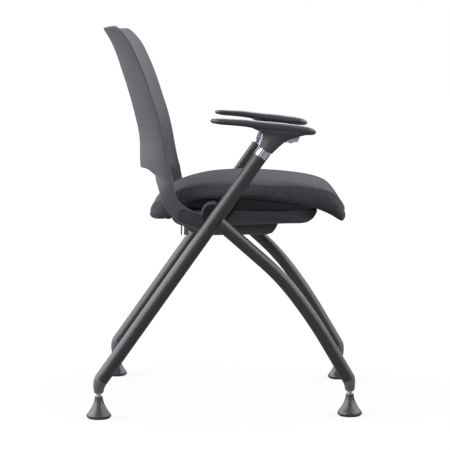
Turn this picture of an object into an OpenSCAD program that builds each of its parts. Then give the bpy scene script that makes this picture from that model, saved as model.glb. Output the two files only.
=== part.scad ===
// Nesting chair with a flip up seat, a sprung moulded back, arm rests and four swivelling bell glides.
// The chair stands on the floor at z = 0, faces -Y, and is symmetric about x = 0.
// Left and right are the sitter's own: left is +X.

/* [Legs] */
// Outer diameter of the rear leg tubes
rear_tube_d = 30; // [26:1:34]
// Outer diameter of the front leg tubes
front_tube_d = 28; // [24:1:30]
// Wall of the leg tubes
leg_wall = 2; // [1.5:0.25:3]
// Distance between the centre planes of the rear legs
rear_track = 522; // [500:2:560]
// Distance between the centres of the front feet
front_track = 452; // [430:2:480]
// Distance between the centres of the front and the rear feet
wheelbase = 529; // [500:1:560]
// Height at which a leg's axis meets its foot's axis
knee_h = 74; // [70:1:90]
// Lean of the rear legs from the vertical, in degrees
rear_lean = 35.36; // [33:0.1:37]
// Length of a rear leg from its knee to the arm rest's collar
rear_leg_len = 584; // [560:1:620]
// Lean of a front leg at its foot, in degrees
front_lean = 30.6; // [29:0.1:32]
// Straight length at the foot of a front leg
front_low_run = 96; // [80:1:110]
// Radius of the long bend in a front leg
front_long_r = 1000; // [900:10:1200]
// Turn of the long bend, in degrees
front_long_turn = 7.6; // [6:0.1:9]
// Radius of the tighter bend under the seat
front_short_r = 480; // [400:10:560]
// Turn of the tighter bend, in degrees
front_short_turn = 10.4; // [9:0.1:12]

/* [Feet] */
// Height of a leg cap's lower end above the floor
cap_bottom_h = 53; // [50:0.5:60]
// Diameter of a leg cap's lower end
cap_bottom_d = 19.4; // [17:0.2:24]
// Length of a cap's plug inside its tube
cap_plug_len = 24; // [15:1:40]
// Length of a rear cap above the knee, along the tube
rear_cap_len = 9; // [6:0.5:14]
// Length of a front cap above the knee, along the tube
front_cap_len = 6; // [4:0.5:12]
// Diameter of a glide's base
glide_d = 52.4; // [44:0.2:60]
// Diameter of a glide's neck
glide_neck_d = 16.8; // [15:0.2:20]
// Height of a glide
glide_h = 46.8; // [40:0.2:49]
// Height of a glide's widest ring above the floor
glide_rim_h = 6; // [4:0.5:9]
// Diameter of a glide's stem
stem_d = 11; // [8:0.5:12]
// Length of stem inside the leg cap
stem_grip_len = 18; // [14:1:22]
// Diameter of a sole pad
sole_d = 44; // [36:1:48]
// Thickness of a sole pad
sole_t = 3; // [2:0.5:4]

/* [Cross tube and pivots] */
// Outer diameter of the cross tube, on which the seat and the back turn
cross_d = 34; // [30:1:38]
// Wall of the cross tube
cross_wall = 2.5; // [2:0.25:4]
// Place of the cross tube's axis along a rear leg, from the knee
pivot_run = 427; // [415:1:440]
// Distance of the cross tube's axis behind a rear leg's axis
pivot_offset = 10.6; // [6:0.2:16]
// Thickness of the mounting plates on the rear legs
mount_plate_t = 4.5; // [3:0.5:6]
// Thickness of the cross tube's end flanges
flange_t = 4.5; // [3:0.5:6]
// Wall of the bushes on the cross tube
bush_wall = 3; // [2:0.25:4]
// Wall of the steel hubs round the bushes
hub_wall = 4; // [3:0.25:5]
// Diameter of the frame bolts
frame_bolt_d = 6; // [5:1:8]
// Radial clearance of every turning fit
run_fit = 0.05; // [0.02:0.01:0.09]
// Clearance between neighbours that don't turn on each other
seat_gap = 0.3; // [0.2:0.05:0.5]

/* [Seat] */
// Depth of the cushion, front to back
cushion_l = 439; // [420:1:460]
// Gap between the cushion and each rear leg
cushion_leg_gap = 20; // [12:1:30]
// Gap between the cushion and each back bracket
cushion_arm_gap = 12.7; // [10:0.1:20]
// Height of the cushion's crown above the cross tube's axis
crown_h = 77; // [70:1:90]
// Thickness of the seat pan
pan_t = 5; // [4:0.5:6]
// Width of the under seat cover at its upper edge
cover_w = 352; // [330:2:370]
// Wall of the covers
cover_wall = 3; // [2:0.25:4]
// Width of the mechanism cover
mech_w = 226; // [200:2:250]
// Greatest turn of the seat when it is flipped up, in degrees
flip_max = 75; // [60:1:76]

/* [Back] */
// Height of the back's upper edge above the cross tube's axis
back_h = 389; // [360:1:420]
// Reach of the back's upper edge behind the cross tube's axis
back_reach = 241.5; // [220:0.5:260]
// Width of the back at its upper end
back_top_w = 470; // [440:2:490]
// Gap between a back arm and the cross tube's end flange
arm_gap = 11.9; // [9:0.1:14]
// Radius of the back's upper corners
back_corner_r = 30; // [24:2:60]
// Rise of the back's upper edge from its middle to its corners
back_rise = 4; // [0:0.5:8]
// Thickness of the back's shell
shell_t = 5; // [4:0.5:7]
// Thickness of the back's arms
back_arm_t = 8; // [6:0.5:10]
// Thickness of the steel back brackets
back_bracket_t = 5; // [4:0.5:6]
// Length of the oval cover on a back arm
oval_l = 60; // [50:1:66]
// Width of the oval cover
oval_w = 24; // [18:1:26]
// Greatest recline of the back, in degrees
recline_max = 10; // [6:1:12]

/* [Arm rests] */
// Length of an arm pad
pad_l = 220; // [200:2:240]
// Greatest width of an arm pad
pad_w = 52; // [40:1:60]
// Height of an arm pad's rear end above the leg's collar
pad_rise = 80.5; // [70:0.5:90]
// Toe in of an arm pad, in degrees
pad_toe = 7; // [0:0.5:10]
// Distance of an arm pad's middle outside the leg's centre plane
pad_out = 15; // [10:0.5:18]
// Height of the collar that shows under an arm rest's neck
collar_l = 17; // [12:0.5:24]
// Thickness of the arm casting's web
web_t = 9; // [6:0.5:12]

/* [Hidden] */

// Colours
tube_colour = "#3b3b40";
plastic_colour = "#4a4a50";
pad_colour = "#35353a";
fabric_colour = "#48484c";
chrome_colour = "#c9ccd4";
steel_colour = "#9a9ca2";
rubber_colour = "#232325";

// One overrun serves every cut
cut = 1;
$fn = 64;

// Curve helpers

// Value of a table of [key, value] rows at t, on a smooth curve through the rows
function row_below(t, table) =
    let (n = len(table))
    max(0, min(n - 2, len([for (row = table) if (row[0] <= t) 1]) - 1));
function chord_slope(table, i) =
    let (j = max(0, min(len(table) - 2, i)))
    (table[j + 1][1] - table[j][1]) / (table[j + 1][0] - table[j][0]);
function knot_slope(table, i) = (chord_slope(table, i - 1) + chord_slope(table, i)) / 2;
function smooth_at(t, table) =
    let (
        i = row_below(t, table),
        span = table[i + 1][0] - table[i][0],
        s = max(0, min(1, (t - table[i][0]) / span)),
        a = table[i][1],
        b = table[i + 1][1],
        ma = knot_slope(table, i) * span,
        mb = knot_slope(table, i + 1) * span
    )
    a + s * ma + pow(s, 2) * (3 * (b - a) - 2 * ma - mb) + pow(s, 3) * (2 * (a - b) + ma + mb);
function mix(a, b, s) = a + (b - a) * s;
function ease(s) = let (c = max(0, min(1, s))) c * c * (3 - 2 * c);
function unit(v) = v / norm(v);
function signed_pow(v, p) = sign(v) * pow(abs(v), p);

// Closed skin over a list of rings with equally many points, each end closed by a fan;
// other splits its four sided faces along their other diagonal
module loft(rings, other = false) {
    m = len(rings);
    n = len(rings[0]);
    walls = [
        for (i = [0 : m - 2], j = [0 : n - 1])
            let (k = (j + 1) % n, a = i * n + j, b = i * n + k, c = (i + 1) * n + k, d = (i + 1) * n + j)
            each other ? [[a, d, b], [b, d, c]] : [[a, c, b], [a, d, c]]
    ];
    first = [for (j = [1 : n - 2]) [0, j, j + 1]];
    last = [for (j = [1 : n - 2]) [(m - 1) * n, (m - 1) * n + j + 1, (m - 1) * n + j]];
    polyhedron(points = [for (ring = rings) each ring], faces = concat(walls, first, last));
}

// The child, and the same child mirrored to the sitter's right
module at_side(side) {
    if (side > 0) children();
    else mirror([1, 0, 0]) children();
}

// Round bar along +X between two places
module along_x(x0, x1, r) {
    translate([x0, 0, 0]) rotate([0, 90, 0]) cylinder(h = x1 - x0, r = r);
}

// Flat plate from x0 to x1 whose side view is a bar with round ends between two [y, z] points
module bar_plate(p, q, r, x0, x1) {
    run = q - p;
    translate([x0, p[0], p[1]]) rotate([atan2(run[1], run[0]), 0, 0]) {
        rotate([0, 90, 0]) cylinder(h = x1 - x0, r = r);
        translate([0, norm(run), 0]) rotate([0, 90, 0]) cylinder(h = x1 - x0, r = r);
        translate([0, 0, -r]) cube([x1 - x0, norm(run), 2 * r]);
    }
}

// Legs, derived places
rear_r = rear_tube_d / 2;
front_r = front_tube_d / 2;
rear_x = rear_track / 2;
front_x = front_track / 2;
foot_y = wheelbase / 2;
weld_gap = 0.1;

// A rear leg's own axes in side view: along points up the tube, off points behind it
along = [-sin(rear_lean), cos(rear_lean)];
off = [cos(rear_lean), sin(rear_lean)];
rear_knee = [foot_y, knee_h];
pivot = rear_knee + along * pivot_run + off * pivot_offset;
collar_run = rear_leg_len;

// A front leg in its own upright plane: u runs from its foot towards the rear leg
bend_1 = front_lean + front_long_turn;
bend_2 = bend_1 + front_short_turn;
function turned(p, a, r, turn) =
    p + r * [cos(a) - cos(a + turn), sin(a + turn) - sin(a)];
front_p0 = [0, knee_h];
front_p1 = front_p0 + front_low_run * [sin(front_lean), cos(front_lean)];
front_p2 = turned(front_p1, front_lean, front_long_r, front_long_turn);
front_p3 = turned(front_p2, bend_1, front_short_r, front_short_turn);
// Length of the last straight run, to where it meets the rear leg's axis; c is the cosine of the toe out
function top_run(c) =
    (wheelbase - (front_p3[1] - knee_h) * tan(rear_lean) - front_p3[0] * c)
    / (sin(bend_2) * c + cos(bend_2) * tan(rear_lean));
function toe_out(run) = asin((rear_x - front_x) / (front_p3[0] + run * sin(bend_2)));
front_toe = toe_out(top_run(cos(toe_out(top_run(1)))));
front_top_run = top_run(cos(front_toe));

// Feet, derived sizes
stem_r = stem_d / 2;
cap_bottom_r = cap_bottom_d / 2;
stem_foot_h = sole_t + glide_rim_h;
stem_collar_h = 1.5;
stem_collar_r = stem_r + stem_collar_h;
glide_lip = 1.5;

// Clearance of a bush pressed into its hub
press_fit = run_fit / 5;

// Cross tube stack on each side, as distances from the middle plane, going inwards
cross_r = cross_d / 2;
bush_r = cross_r + bush_wall;
hub_r = bush_r + hub_wall;
plate_x1 = rear_x - rear_r - weld_gap;
plate_x0 = plate_x1 - mount_plate_t;
flange_x0 = plate_x0 - flange_t;
arm_x1 = flange_x0 - arm_gap;
arm_x0 = arm_x1 - back_arm_t;
bracket_x1 = arm_x0 - seat_gap;
bracket_x0 = bracket_x1 - back_bracket_t;
back_hub_l = 21;
back_hub_x0 = bracket_x1 - back_hub_l;
dog_l = 4;
dog_arc = 22;
collar_w = 7;
collar_step = 1;
collar_r = hub_r - collar_step;
collar_x1 = back_hub_x0 - dog_l;
collar_x0 = collar_x1 - collar_w;
seat_hub_x1 = collar_x0 - dog_l;
seat_hub_l = 34;
seat_hub_x0 = seat_hub_x1 - seat_hub_l;
// Angles at which the dogs stand, measured in side view from +Y towards +Z
back_dog_at = 250;
seat_dog_at = 215;
dog_rest = 0.6;
// The dogs stand a little inside the collar's rim
dog_step = 0.5;

bend_lap = 1;
bend_thin = 0.1;
// Straight tube or bar leaning by a from the vertical, from p in the y and z plane
module leaning(p, a, l, r, bore_r) {
    translate([0, p[0], p[1]]) rotate([-a, 0, 0]) difference() {
        cylinder(h = l, r = r);
        if (bore_r > 0) translate([0, 0, -cut]) cylinder(h = l + 2 * cut, r = bore_r);
    }
}

// One bend of a front leg, turning away from the vertical; the wall is a little thinner round it,
// so that the straight runs lap over its ends
module front_bend(p, a, bend_r, turn) {
    trim = bend_lap / bend_r * 90 / PI;
    translate([0, p[0] + bend_r * cos(a), p[1] - bend_r * sin(a)])
        rotate([90, 0, 90]) rotate([0, 0, 180 - a - turn + trim])
            rotate_extrude(angle = turn - 2 * trim) translate([bend_r, 0]) difference() {
                circle(r = front_r - bend_thin);
                circle(r = front_r - leg_wall + bend_thin);
            }
}

// Places its child, drawn in the y and z plane from a front foot, on the sitter's left
module at_front_foot() {
    translate([front_x, -foot_y, 0]) rotate([0, 0, -front_toe]) children();
}

// Places its child, drawn up +Z from the knee, along the left rear leg
module on_rear_leg() {
    translate([rear_x, rear_knee[0], rear_knee[1]]) rotate([rear_lean, 0, 0]) children();
}

module rear_leg(side) {
    color(tube_colour) at_side(side) on_rear_leg() difference() {
        translate([0, 0, rear_cap_len]) cylinder(h = collar_run - rear_cap_len, r = rear_r);
        translate([0, 0, rear_cap_len - cut])
            cylinder(h = collar_run - rear_cap_len + 2 * cut, r = rear_r - leg_wall);
    }
}

module front_leg(side) {
    color(tube_colour) at_side(side) difference() {
        at_front_foot() {
            bore_r = front_r - leg_wall;
            leaning(front_p0 + front_cap_len * [sin(front_lean), cos(front_lean)], front_lean,
                front_low_run - front_cap_len + bend_lap, front_r, bore_r);
            front_bend(front_p1, front_lean, front_long_r, front_long_turn);
            leaning(front_p2 - bend_lap * [sin(bend_1), cos(bend_1)], bend_1, 2 * bend_lap, front_r, bore_r);
            front_bend(front_p2, bend_1, front_short_r, front_short_turn);
            leaning(front_p3 - bend_lap * [sin(bend_2), cos(bend_2)], bend_2,
                front_top_run + bend_lap, front_r, bore_r);
        }
        on_rear_leg() cylinder(h = collar_run, r = rear_r + weld_gap);
    }
}

// Feet

// Places a child, drawn with its foot's axis on +Z and its tube leaning towards +Y, at one foot
module at_foot(front, side) {
    at_side(side) {
        if (front) at_front_foot() children();
        else translate([rear_x, foot_y, 0]) rotate([0, 0, 180]) children();
    }
}

// Ring of a leg cap at s, from 0 at its seam to 1 at its lower end, turned square to its own route
cap_sides = 28;
cap_rings = 9;
cap_turn = 1.2;
cap_taper = 1.5;
function cap_centre(s, lean, l) =
    let (
        top = [l * sin(lean), knee_h + l * cos(lean)],
        knee = [0, knee_h],
        foot = [0, cap_bottom_h]
    )
    pow(1 - s, 2) * top + 2 * s * (1 - s) * knee + pow(s, 2) * foot;
function cap_ring(s, lean, l, tube_r) =
    let (
        c = cap_centre(s, lean, l),
        tilt = lean * (1 - ease(s * cap_turn)),
        r = mix(tube_r, cap_bottom_r, pow(s, cap_taper))
    )
    tilted_ring(c, tilt, r);
function tilted_ring(c, tilt, r) =
    [for (i = [0 : cap_sides - 1]) let (a = -360 * i / cap_sides)
        [r * cos(a), c[0] + r * sin(a) * cos(tilt), c[1] - r * sin(a) * sin(tilt)]];

// Moulded elbow that plugs into a leg and holds a glide's stem
module leg_cap(front, side) {
    lean = front ? front_lean : rear_lean;
    l = front ? front_cap_len : rear_cap_len;
    r = front ? front_r : rear_r;
    seam = cap_centre(0, lean, l);
    plug_end = seam + cap_plug_len * [sin(lean), cos(lean)];
    plug_r = r - leg_wall - run_fit;
    color(plastic_colour) at_foot(front, side) difference() {
        loft(concat(
            [tilted_ring(plug_end, lean, plug_r), tilted_ring(seam, lean, plug_r)],
            [for (i = [0 : cap_rings]) cap_ring(i / cap_rings, lean, l, r)]));
        translate([0, 0, cap_bottom_h - cut]) cylinder(h = stem_grip_len + cut, r = stem_r + run_fit);
    }
}

// Steel stem that turns in a leg cap, pressed into its glide
module stem(front, side) {
    color(chrome_colour) at_foot(front, side) {
        translate([0, 0, stem_foot_h])
            cylinder(h = cap_bottom_h + stem_grip_len - seat_gap - stem_foot_h, r = stem_r);
        translate([0, 0, glide_h]) cylinder(h = stem_collar_h, r = stem_collar_r);
    }
}

// Outline of a glide: a flared bell over a rounded rim
glide_flare = 1.8;
glide_steps = 10;
glide_base_r_share = 0.93;
module glide(front, side) {
    rim_r = glide_d / 2;
    neck_r = glide_neck_d / 2;
    bell = [for (i = [0 : glide_steps]) let (s = i / glide_steps)
        [neck_r + (rim_r - neck_r) * pow(1 - s, glide_flare), mix(glide_rim_h, glide_h, s)]];
    color(plastic_colour) at_foot(front, side) difference() {
        rotate_extrude() polygon(concat(
            [[0, glide_h], [0, glide_lip], [rim_r * glide_base_r_share, glide_lip]], bell));
        translate([0, 0, -cut]) cylinder(h = sole_t + cut, r = sole_d / 2 + run_fit);
        translate([0, 0, stem_foot_h]) cylinder(h = glide_h, r = stem_r + run_fit);
    }
}

module sole(front, side) {
    color(rubber_colour) at_foot(front, side) cylinder(h = sole_t, r = sole_d / 2);
}

// Cross tube and what carries it

// Places its child, drawn in x, y and z from the pivot, at the cross tube's axis
module at_pivot() {
    translate([0, pivot[0], pivot[1]]) children();
}

// Places its child at a point beside a rear leg: run up the tube, behind its axis by out
module beside_leg(run, out) {
    p = rear_knee + along * run + off * out;
    translate([0, p[0], p[1]]) rotate([rear_lean, 0, 0]) children();
}

// Bolts through a mounting plate and a flange, as places along and beside the leg
bolt_far = 53;
bolt_near = 31;
bolt_steps = [bolt_far, bolt_near];
bolt_runs = [for (step = bolt_steps) pivot_run + step];
bolt_shift = 1;
bolt_out = -rear_r - bolt_shift;
bolt_head_t = 3.5;
bolt_head_step = 2;
bolt_head_r = frame_bolt_d / 2 + bolt_head_step;
plate_nose_r = 24;
plate_bar_r = 19;
plate_inset = 6;
flange_step = 1;

// Side view of a mounting plate, from x0 to x1: a disc round the cross tube with a long ear
module mount_outline(x0, x1, grow) {
    ear_y = bolt_out + plate_bar_r - plate_inset;
    beside_leg(pivot_run, 0) {
        translate([0, pivot_offset / 2, 0]) along_x(x0, x1, plate_nose_r + grow);
        bar_plate([ear_y, 0], [ear_y, bolt_far - plate_inset], plate_bar_r + grow, x0, x1);
    }
}

module bolt_holes(x0, x1, r) {
    for (run = bolt_runs) beside_leg(run, bolt_out) along_x(x0, x1, r);
}

module mounting_plate(side) {
    color(tube_colour) at_side(side) difference() {
        mount_outline(plate_x0, plate_x1, 0);
        bolt_holes(plate_x0 - cut, plate_x1 + cut, frame_bolt_d / 2 + run_fit);
        at_front_foot() leaning(front_p3, bend_2, front_top_run, front_r + weld_gap, 0);
    }
}

module cross_tube() {
    color(tube_colour) difference() {
        union() {
            at_pivot() along_x(-flange_x0 - cut, flange_x0 + cut, cross_r);
            for (side = [1, -1]) at_side(side) mount_outline(flange_x0, plate_x0, -flange_step);
        }
        at_pivot() along_x(-plate_x0 - cut, plate_x0 + cut, cross_r - cross_wall);
        for (side = [1, -1]) at_side(side)
            bolt_holes(flange_x0 - cut, plate_x0 + cut, frame_bolt_d / 2 + run_fit);
    }
}

module frame_bolts() {
    color(steel_colour) for (side = [1, -1], run = bolt_runs) at_side(side) beside_leg(run, bolt_out) {
        along_x(flange_x0 - bolt_head_t, plate_x1 + bolt_head_t, frame_bolt_d / 2);
        along_x(plate_x1, plate_x1 + bolt_head_t, bolt_head_r);
        along_x(flange_x0 - bolt_head_t, flange_x0, bolt_head_r);
    }
}

// Ring sector from x0 to x1, centred on angle at, measured in side view from +Y towards +Z
module dog(x0, x1, r0, r1, at, arc) {
    translate([x0, 0, 0]) rotate([90, 0, 90]) rotate([0, 0, at - arc / 2])
        rotate_extrude(angle = arc) translate([r0, 0]) square([r1 - r0, x1 - x0]);
}

// A hub's dog meets its collar's first dog at rest, and the second one at the end of its travel.
// A hub turns towards smaller angles, so its first stop lies on the greater side.
module stop_dogs(x0, x1, at, travel) {
    dog(x0, x1, cross_r - cut, collar_r - dog_step, at + dog_arc + dog_rest, dog_arc);
    dog(x0, x1, cross_r - cut, collar_r - dog_step, at - dog_arc - dog_rest - travel, dog_arc);
}

module stop_collar(side) {
    color(steel_colour) at_side(side) at_pivot() difference() {
        union() {
            along_x(collar_x0, collar_x1, collar_r);
            stop_dogs(collar_x1 - cut, collar_x1 + dog_l - seat_gap, back_dog_at, recline_max);
            stop_dogs(collar_x0 - dog_l + seat_gap, collar_x0 + cut, seat_dog_at, flip_max);
        }
        along_x(collar_x0 - 2 * dog_l, collar_x1 + 2 * dog_l, cross_r + run_fit);
    }
}

// Bush in a turning hub
module bush(side, x0, x1) {
    color(rubber_colour) at_side(side) at_pivot() difference() {
        along_x(x0, x1, bush_r);
        along_x(x0 - cut, x1 + cut, cross_r + run_fit);
    }
}

// Arm rests, measured from the centre of the leg's upper end

arm_root = rear_knee + along * collar_run;
pad_mid = 0;
pad_rear_share = 0.47;
casting_plug_l = 30;
collar_proud = 0.4;
web_inset = 2;
web_x1 = rear_x - web_inset;
web_x0 = web_x1 - web_t;
arm_screw_r = 2;
arm_head_r = 4.2;
arm_head_t = 2;
arm_screw_l = 14;
pad_screw_l = 24;

module at_arm() {
    translate([0, arm_root[0], arm_root[1]]) children();
}

// Arm pad stations: place along the pad, upper and lower edge over pad_rise, half width over pad_w
pad_shares = [
    [0, 0.942, 0.936, 0.02], [0.01, 0.983, 0.889, 0.2], [0.04, 0.996, 0.865, 0.33],
    [0.086, 1.001, 0.84, 0.4], [0.195, 0.989, 0.815, 0.45], [0.327, 0.97, 0.778, 0.48],
    [0.44, 0.933, 0.722, 0.5], [0.55, 0.902, 0.672, 0.5], [0.66, 0.877, 0.622, 0.5],
    [0.77, 0.834, 0.576, 0.49], [0.87, 0.79, 0.56, 0.45], [0.93, 0.747, 0.56, 0.38],
    [0.97, 0.684, 0.57, 0.28], [0.99, 0.641, 0.591, 0.17], [1, 0.618, 0.614, 0.02]
];
pad_sides = 24;
pad_squareness = 0.75;
function pad_ring(row) =
    let (
        y = pad_l * (pad_rear_share - row[0]),
        hh = (row[1] - row[2]) * pad_rise / 2,
        hw = row[3] * pad_w,
        c = (row[1] + row[2]) * pad_rise / 2
    )
    [for (i = [0 : pad_sides - 1]) let (a = 360 * i / pad_sides)
        [hw * signed_pow(cos(a), pad_squareness), y, c + hh * signed_pow(sin(a), pad_squareness)]];
module pad_body() {
    translate([rear_x + pad_out, pad_mid, 0]) rotate([0, 0, -pad_toe])
        loft([for (row = pad_shares) pad_ring(row)]);
}

// Neck rings: centre over pad_l and pad_rise, half length over pad_l, half width over pad_w,
// tilt in degrees, and how far the ring has moved out towards the pad's middle
neck_shares = [
    [-0.12, 0.355, 0.084, 0.29, 19, 0.1], [-0.142, 0.47, 0.093, 0.28, 12, 0.3],
    [-0.155, 0.55, 0.118, 0.29, 8, 0.5], [-0.175, 0.6, 0.158, 0.33, 8, 0.6]
];
neck_top_share = [-0.178, 0.172, 0.36, 0.6];
neck_sides = 28;
// Height of the pad's underside over a place in side view
pad_under_shares = [for (row = pad_shares) [row[0], row[2]]];
function pad_under(y) = pad_rise * smooth_at(pad_rear_share + (pad_mid - y) / pad_l, pad_under_shares);
function neck_top_ring() =
    let (top = neck_top_share, x = rear_x + pad_out * top[3])
    [for (i = [0 : neck_sides - 1]) let (t = 360 * i / neck_sides, y = (top[0] + top[1] * sin(t)) * pad_l)
        [x + top[2] * pad_w * cos(t), y, pad_under(y) - 2 * seat_gap]];
function neck_ring(c, a, b, tilt, x) =
    [for (i = [0 : neck_sides - 1]) let (t = 360 * i / neck_sides)
        [x + b * cos(t), c[0] + a * sin(t) * cos(tilt), c[1] + a * sin(t) * sin(tilt)]];
module neck_body() {
    r = rear_r + collar_proud;
    loft(concat(
        [neck_ring(along * (collar_l + seat_gap), r, r, rear_lean, rear_x)],
        [for (row = neck_shares)
            neck_ring([row[0] * pad_l, row[1] * pad_rise], row[2] * pad_l, row[3] * pad_w, row[4],
                rear_x + pad_out * row[5])],
        [neck_top_ring()]
    ));
}

// Outline of the casting's web over pad_l and pad_rise
web_shares = [
    [0.036, 0.15], [0.014, 0.281], [-0.022, 0.579], [-0.015, 0.69], [-0.19, 0.618], [-0.35, 0.552],
    [-0.358, 0.52], [-0.339, 0.38], [-0.216, 0.368], [-0.157, 0.235], [-0.09, 0.06]
];
arm_side_screw_shares = [[-0.09, 0.47], [-0.19, 0.5]];
arm_pad_screw_shares = [-0.29, 0.371];

module arm_side_screws(x0, x1, r) {
    for (s = arm_side_screw_shares)
        translate([0, s[0] * pad_l, s[1] * pad_rise]) along_x(x0, x1, r);
}

module arm_pad_screw(z0, z1, r) {
    place = [arm_pad_screw_shares[0] * pad_l, arm_pad_screw_shares[1] * pad_rise + z0];
    translate([(web_x0 + web_x1) / 2, place[0], place[1]]) cylinder(h = z1 - z0, r = r);
}

// Chrome casting: a plug in the leg, the collar that shows, and the web that carries the pad
module arm_casting(side) {
    color(chrome_colour) at_side(side) difference() {
        union() {
            on_rear_leg() {
                translate([0, 0, collar_run - casting_plug_l])
                    cylinder(h = casting_plug_l + cut, r = rear_r - leg_wall - run_fit);
                translate([0, 0, collar_run]) cylinder(h = collar_l, r = rear_r + collar_proud);
            }
            at_arm() translate([web_x0, 0, 0]) rotate([90, 0, 90]) linear_extrude(web_t)
                polygon([for (s = web_shares) [s[0] * pad_l, s[1] * pad_rise]]);
        }
        at_arm() {
            arm_side_screws(web_x0 - cut, web_x1 + cut, arm_screw_r + run_fit);
            arm_pad_screw(-cut, pad_rise, arm_screw_r + run_fit);
        }
    }
}

// Moulded neck on the outer side of the casting
module arm_neck(side) {
    color(plastic_colour) at_side(side) at_arm() difference() {
        neck_body();
        translate([0, -pad_l, 0]) cube([web_x1 + seat_gap, 2 * pad_l, 2 * pad_rise]);
        arm_side_screws(web_x0, web_x0 + arm_screw_l + run_fit, arm_screw_r + run_fit);
    }
}

module arm_pad(side) {
    color(pad_colour) at_side(side) at_arm() difference() {
        pad_body();
        arm_pad_screw(-cut, pad_screw_l + run_fit, arm_screw_r + run_fit);
    }
}

module arm_screws() {
    color(steel_colour) for (side = [1, -1]) at_side(side) at_arm() {
        arm_side_screws(web_x0 - arm_head_t, web_x0 + arm_screw_l, arm_screw_r);
        arm_side_screws(web_x0 - arm_head_t, web_x0, arm_head_r);
        arm_pad_screw(-arm_head_t, pad_screw_l, arm_screw_r);
        arm_pad_screw(-arm_head_t, 0, arm_head_r);
    }
}

// Seat, measured from the cross tube's axis

// Height rows: place over cushion_l counted from the rear end, height over crown_h
crown_shares = [
    [0, -0.17], [0.016, 0.013], [0.041, 0.208], [0.0957, 0.48], [0.187, 0.74], [0.296, 0.922],
    [0.462, 1], [0.574, 0.974], [0.692, 0.922], [0.779, 0.844], [0.854, 0.74], [0.913, 0.571],
    [0.948, 0.39], [0.97, 0.221], [0.986, 0.039], [1, -0.15]
];
crease_shares = [
    [0, -0.13], [0.01, -0.08], [0.049, 0.18], [0.0957, 0.39], [0.169, 0.61], [0.244, 0.714], [0.321, 0.766],
    [0.412, 0.805], [0.522, 0.805], [0.656, 0.779], [0.79, 0.727], [0.877, 0.636], [0.945, 0.416],
    [0.968, 0.18], [0.989, -0.04], [1, -0.14]
];
base_shares = [
    [0, -0.4], [0.034, -0.403], [0.073, -0.39], [0.116, -0.34], [0.14, -0.16], [0.164, -0.013],
    [0.21, 0.182], [0.255, 0.299], [0.3235, 0.38], [0.392, 0.403], [0.483, 0.39], [0.583, 0.325],
    [0.697, 0.273], [0.811, 0.156], [0.888, 0.03], [0.952, -0.13], [1, -0.24]
];
droop_share = 0.26;
droop_from = 0.82;
droop_span = 0.16;
// Places along the cushion, over its depth, from the cross tube's axis
rear_overhang = 0.333713 * cushion_l;
cushion_w = 2 * (rear_x - rear_r - cushion_leg_gap);
cushion_rear_w = 2 * (bracket_x0 - cushion_arm_gap);
narrow_y = -0.034169 * cushion_l;
narrow_run = cushion_l / 6;
crease_half_share = 0.49;
crease_mid = rear_overhang - cushion_l / 2;
cushion_points = 56;
cushion_corner_share = 0.33;
crown_power = 2.6;
// Rings of the cushion: scale of the outline, level from 0 at the base to 1 at the crease
lower_rings = [[0.955, 0], [0.985, 0.22], [1.012, 0.6], [1, 1]];
upper_rings = [0.975, 0.9, 0.75, 0.52, 0.26];

function seat_share(y) = (rear_overhang - y) / cushion_l;
function half_width(y) = mix(cushion_rear_w, cushion_w, ease((narrow_y - y) / narrow_run)) / 2;
function plan_point(i, k, mid, half) =
    let (
        a = 360 * i / cushion_points,
        y = mid + k * half * signed_pow(sin(a), cushion_corner_share)
    )
    [k * half_width(y) * signed_pow(cos(a), cushion_corner_share), y];
function crown_z(x, y) =
    let (
        s = seat_share(y),
        zc = crown_h * smooth_at(s, crown_shares),
        zs = min(zc, crown_h * smooth_at(s, crease_shares))
    )
    mix(zc, zs, pow(min(1, abs(x) / half_width(y)), crown_power));
function base_z(x, y) =
    let (s = seat_share(y))
    crown_h * (smooth_at(s, base_shares)
        - droop_share * ease((s - droop_from) / droop_span) * (1 - pow(min(1, abs(x) / half_width(y)), 2)));

module seat_cushion() {
    half = crease_half_share * cushion_l;
    seat = [for (k = seated_rings) seated_ring(k, 0)];
    lower = [for (ring = lower_rings) [for (i = [0 : cushion_points - 1])
        let (
            p = plan_point(i, ring[0], crease_mid, half),
            q = plan_point(i, 1, crease_mid, half),
            b = base_z(p[0], p[1])
        )
        [p[0], p[1], mix(b, crown_z(q[0], q[1]), ring[1])]]];
    upper = [for (k = upper_rings) [for (i = [0 : cushion_points - 1])
        let (p = plan_point(i, k, crease_mid, half)) [p[0], p[1], crown_z(p[0], p[1])]]];
    color(fabric_colour) at_pivot() loft(concat(seat, lower, upper));
}

// Upper edge of the under seat cover: place over cushion_l, height over crown_h
cover_top_shares = [
    [0.1, -0.42], [0.14, -0.27], [0.2, 0], [0.26, 0.05], [0.43, 0.05], [0.58, 0.03], [0.78, 0], [0.87, -0.1]
];
pan_mid = -0.164009 * cushion_l;
pan_half = 0.353075 * cushion_l;
pan_w_share = 0.93;
// Rings of the pan's lower side: scale, level from 0 for its face to 1 for its top, or -1 for the lip
// on the cover, and 1 where the ring runs straight at the sides, as the cover does
pan_lower_rings = [[0.3, 0, 1], [0.6, 0, 1], [0.79, 0, 1], [0.81, -1, 1], [0.845, -1, 1], [0.98, 0.4, 0]];
// Rings at which the cushion lies on the pan
seated_rings = [0.3, 0.55, 0.8, 1];
hub_clear = 1;

function seated_ring(k, drop) =
    [for (i = [0 : cushion_points - 1]) let (p = plan_point(i, k, pan_mid, pan_half))
        [pan_w_share * p[0], p[1], base_z(p[0], p[1]) - drop]];
function pan_z(x, y, level) =
    let (
        top = base_z(x, y) - seat_gap,
        lip = min(top - pan_t - hub_clear, crown_h * smooth_at(seat_share(y), cover_top_shares) + seat_gap)
    )
    level < 0 ? lip : top - pan_t * (1 - level);

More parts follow.
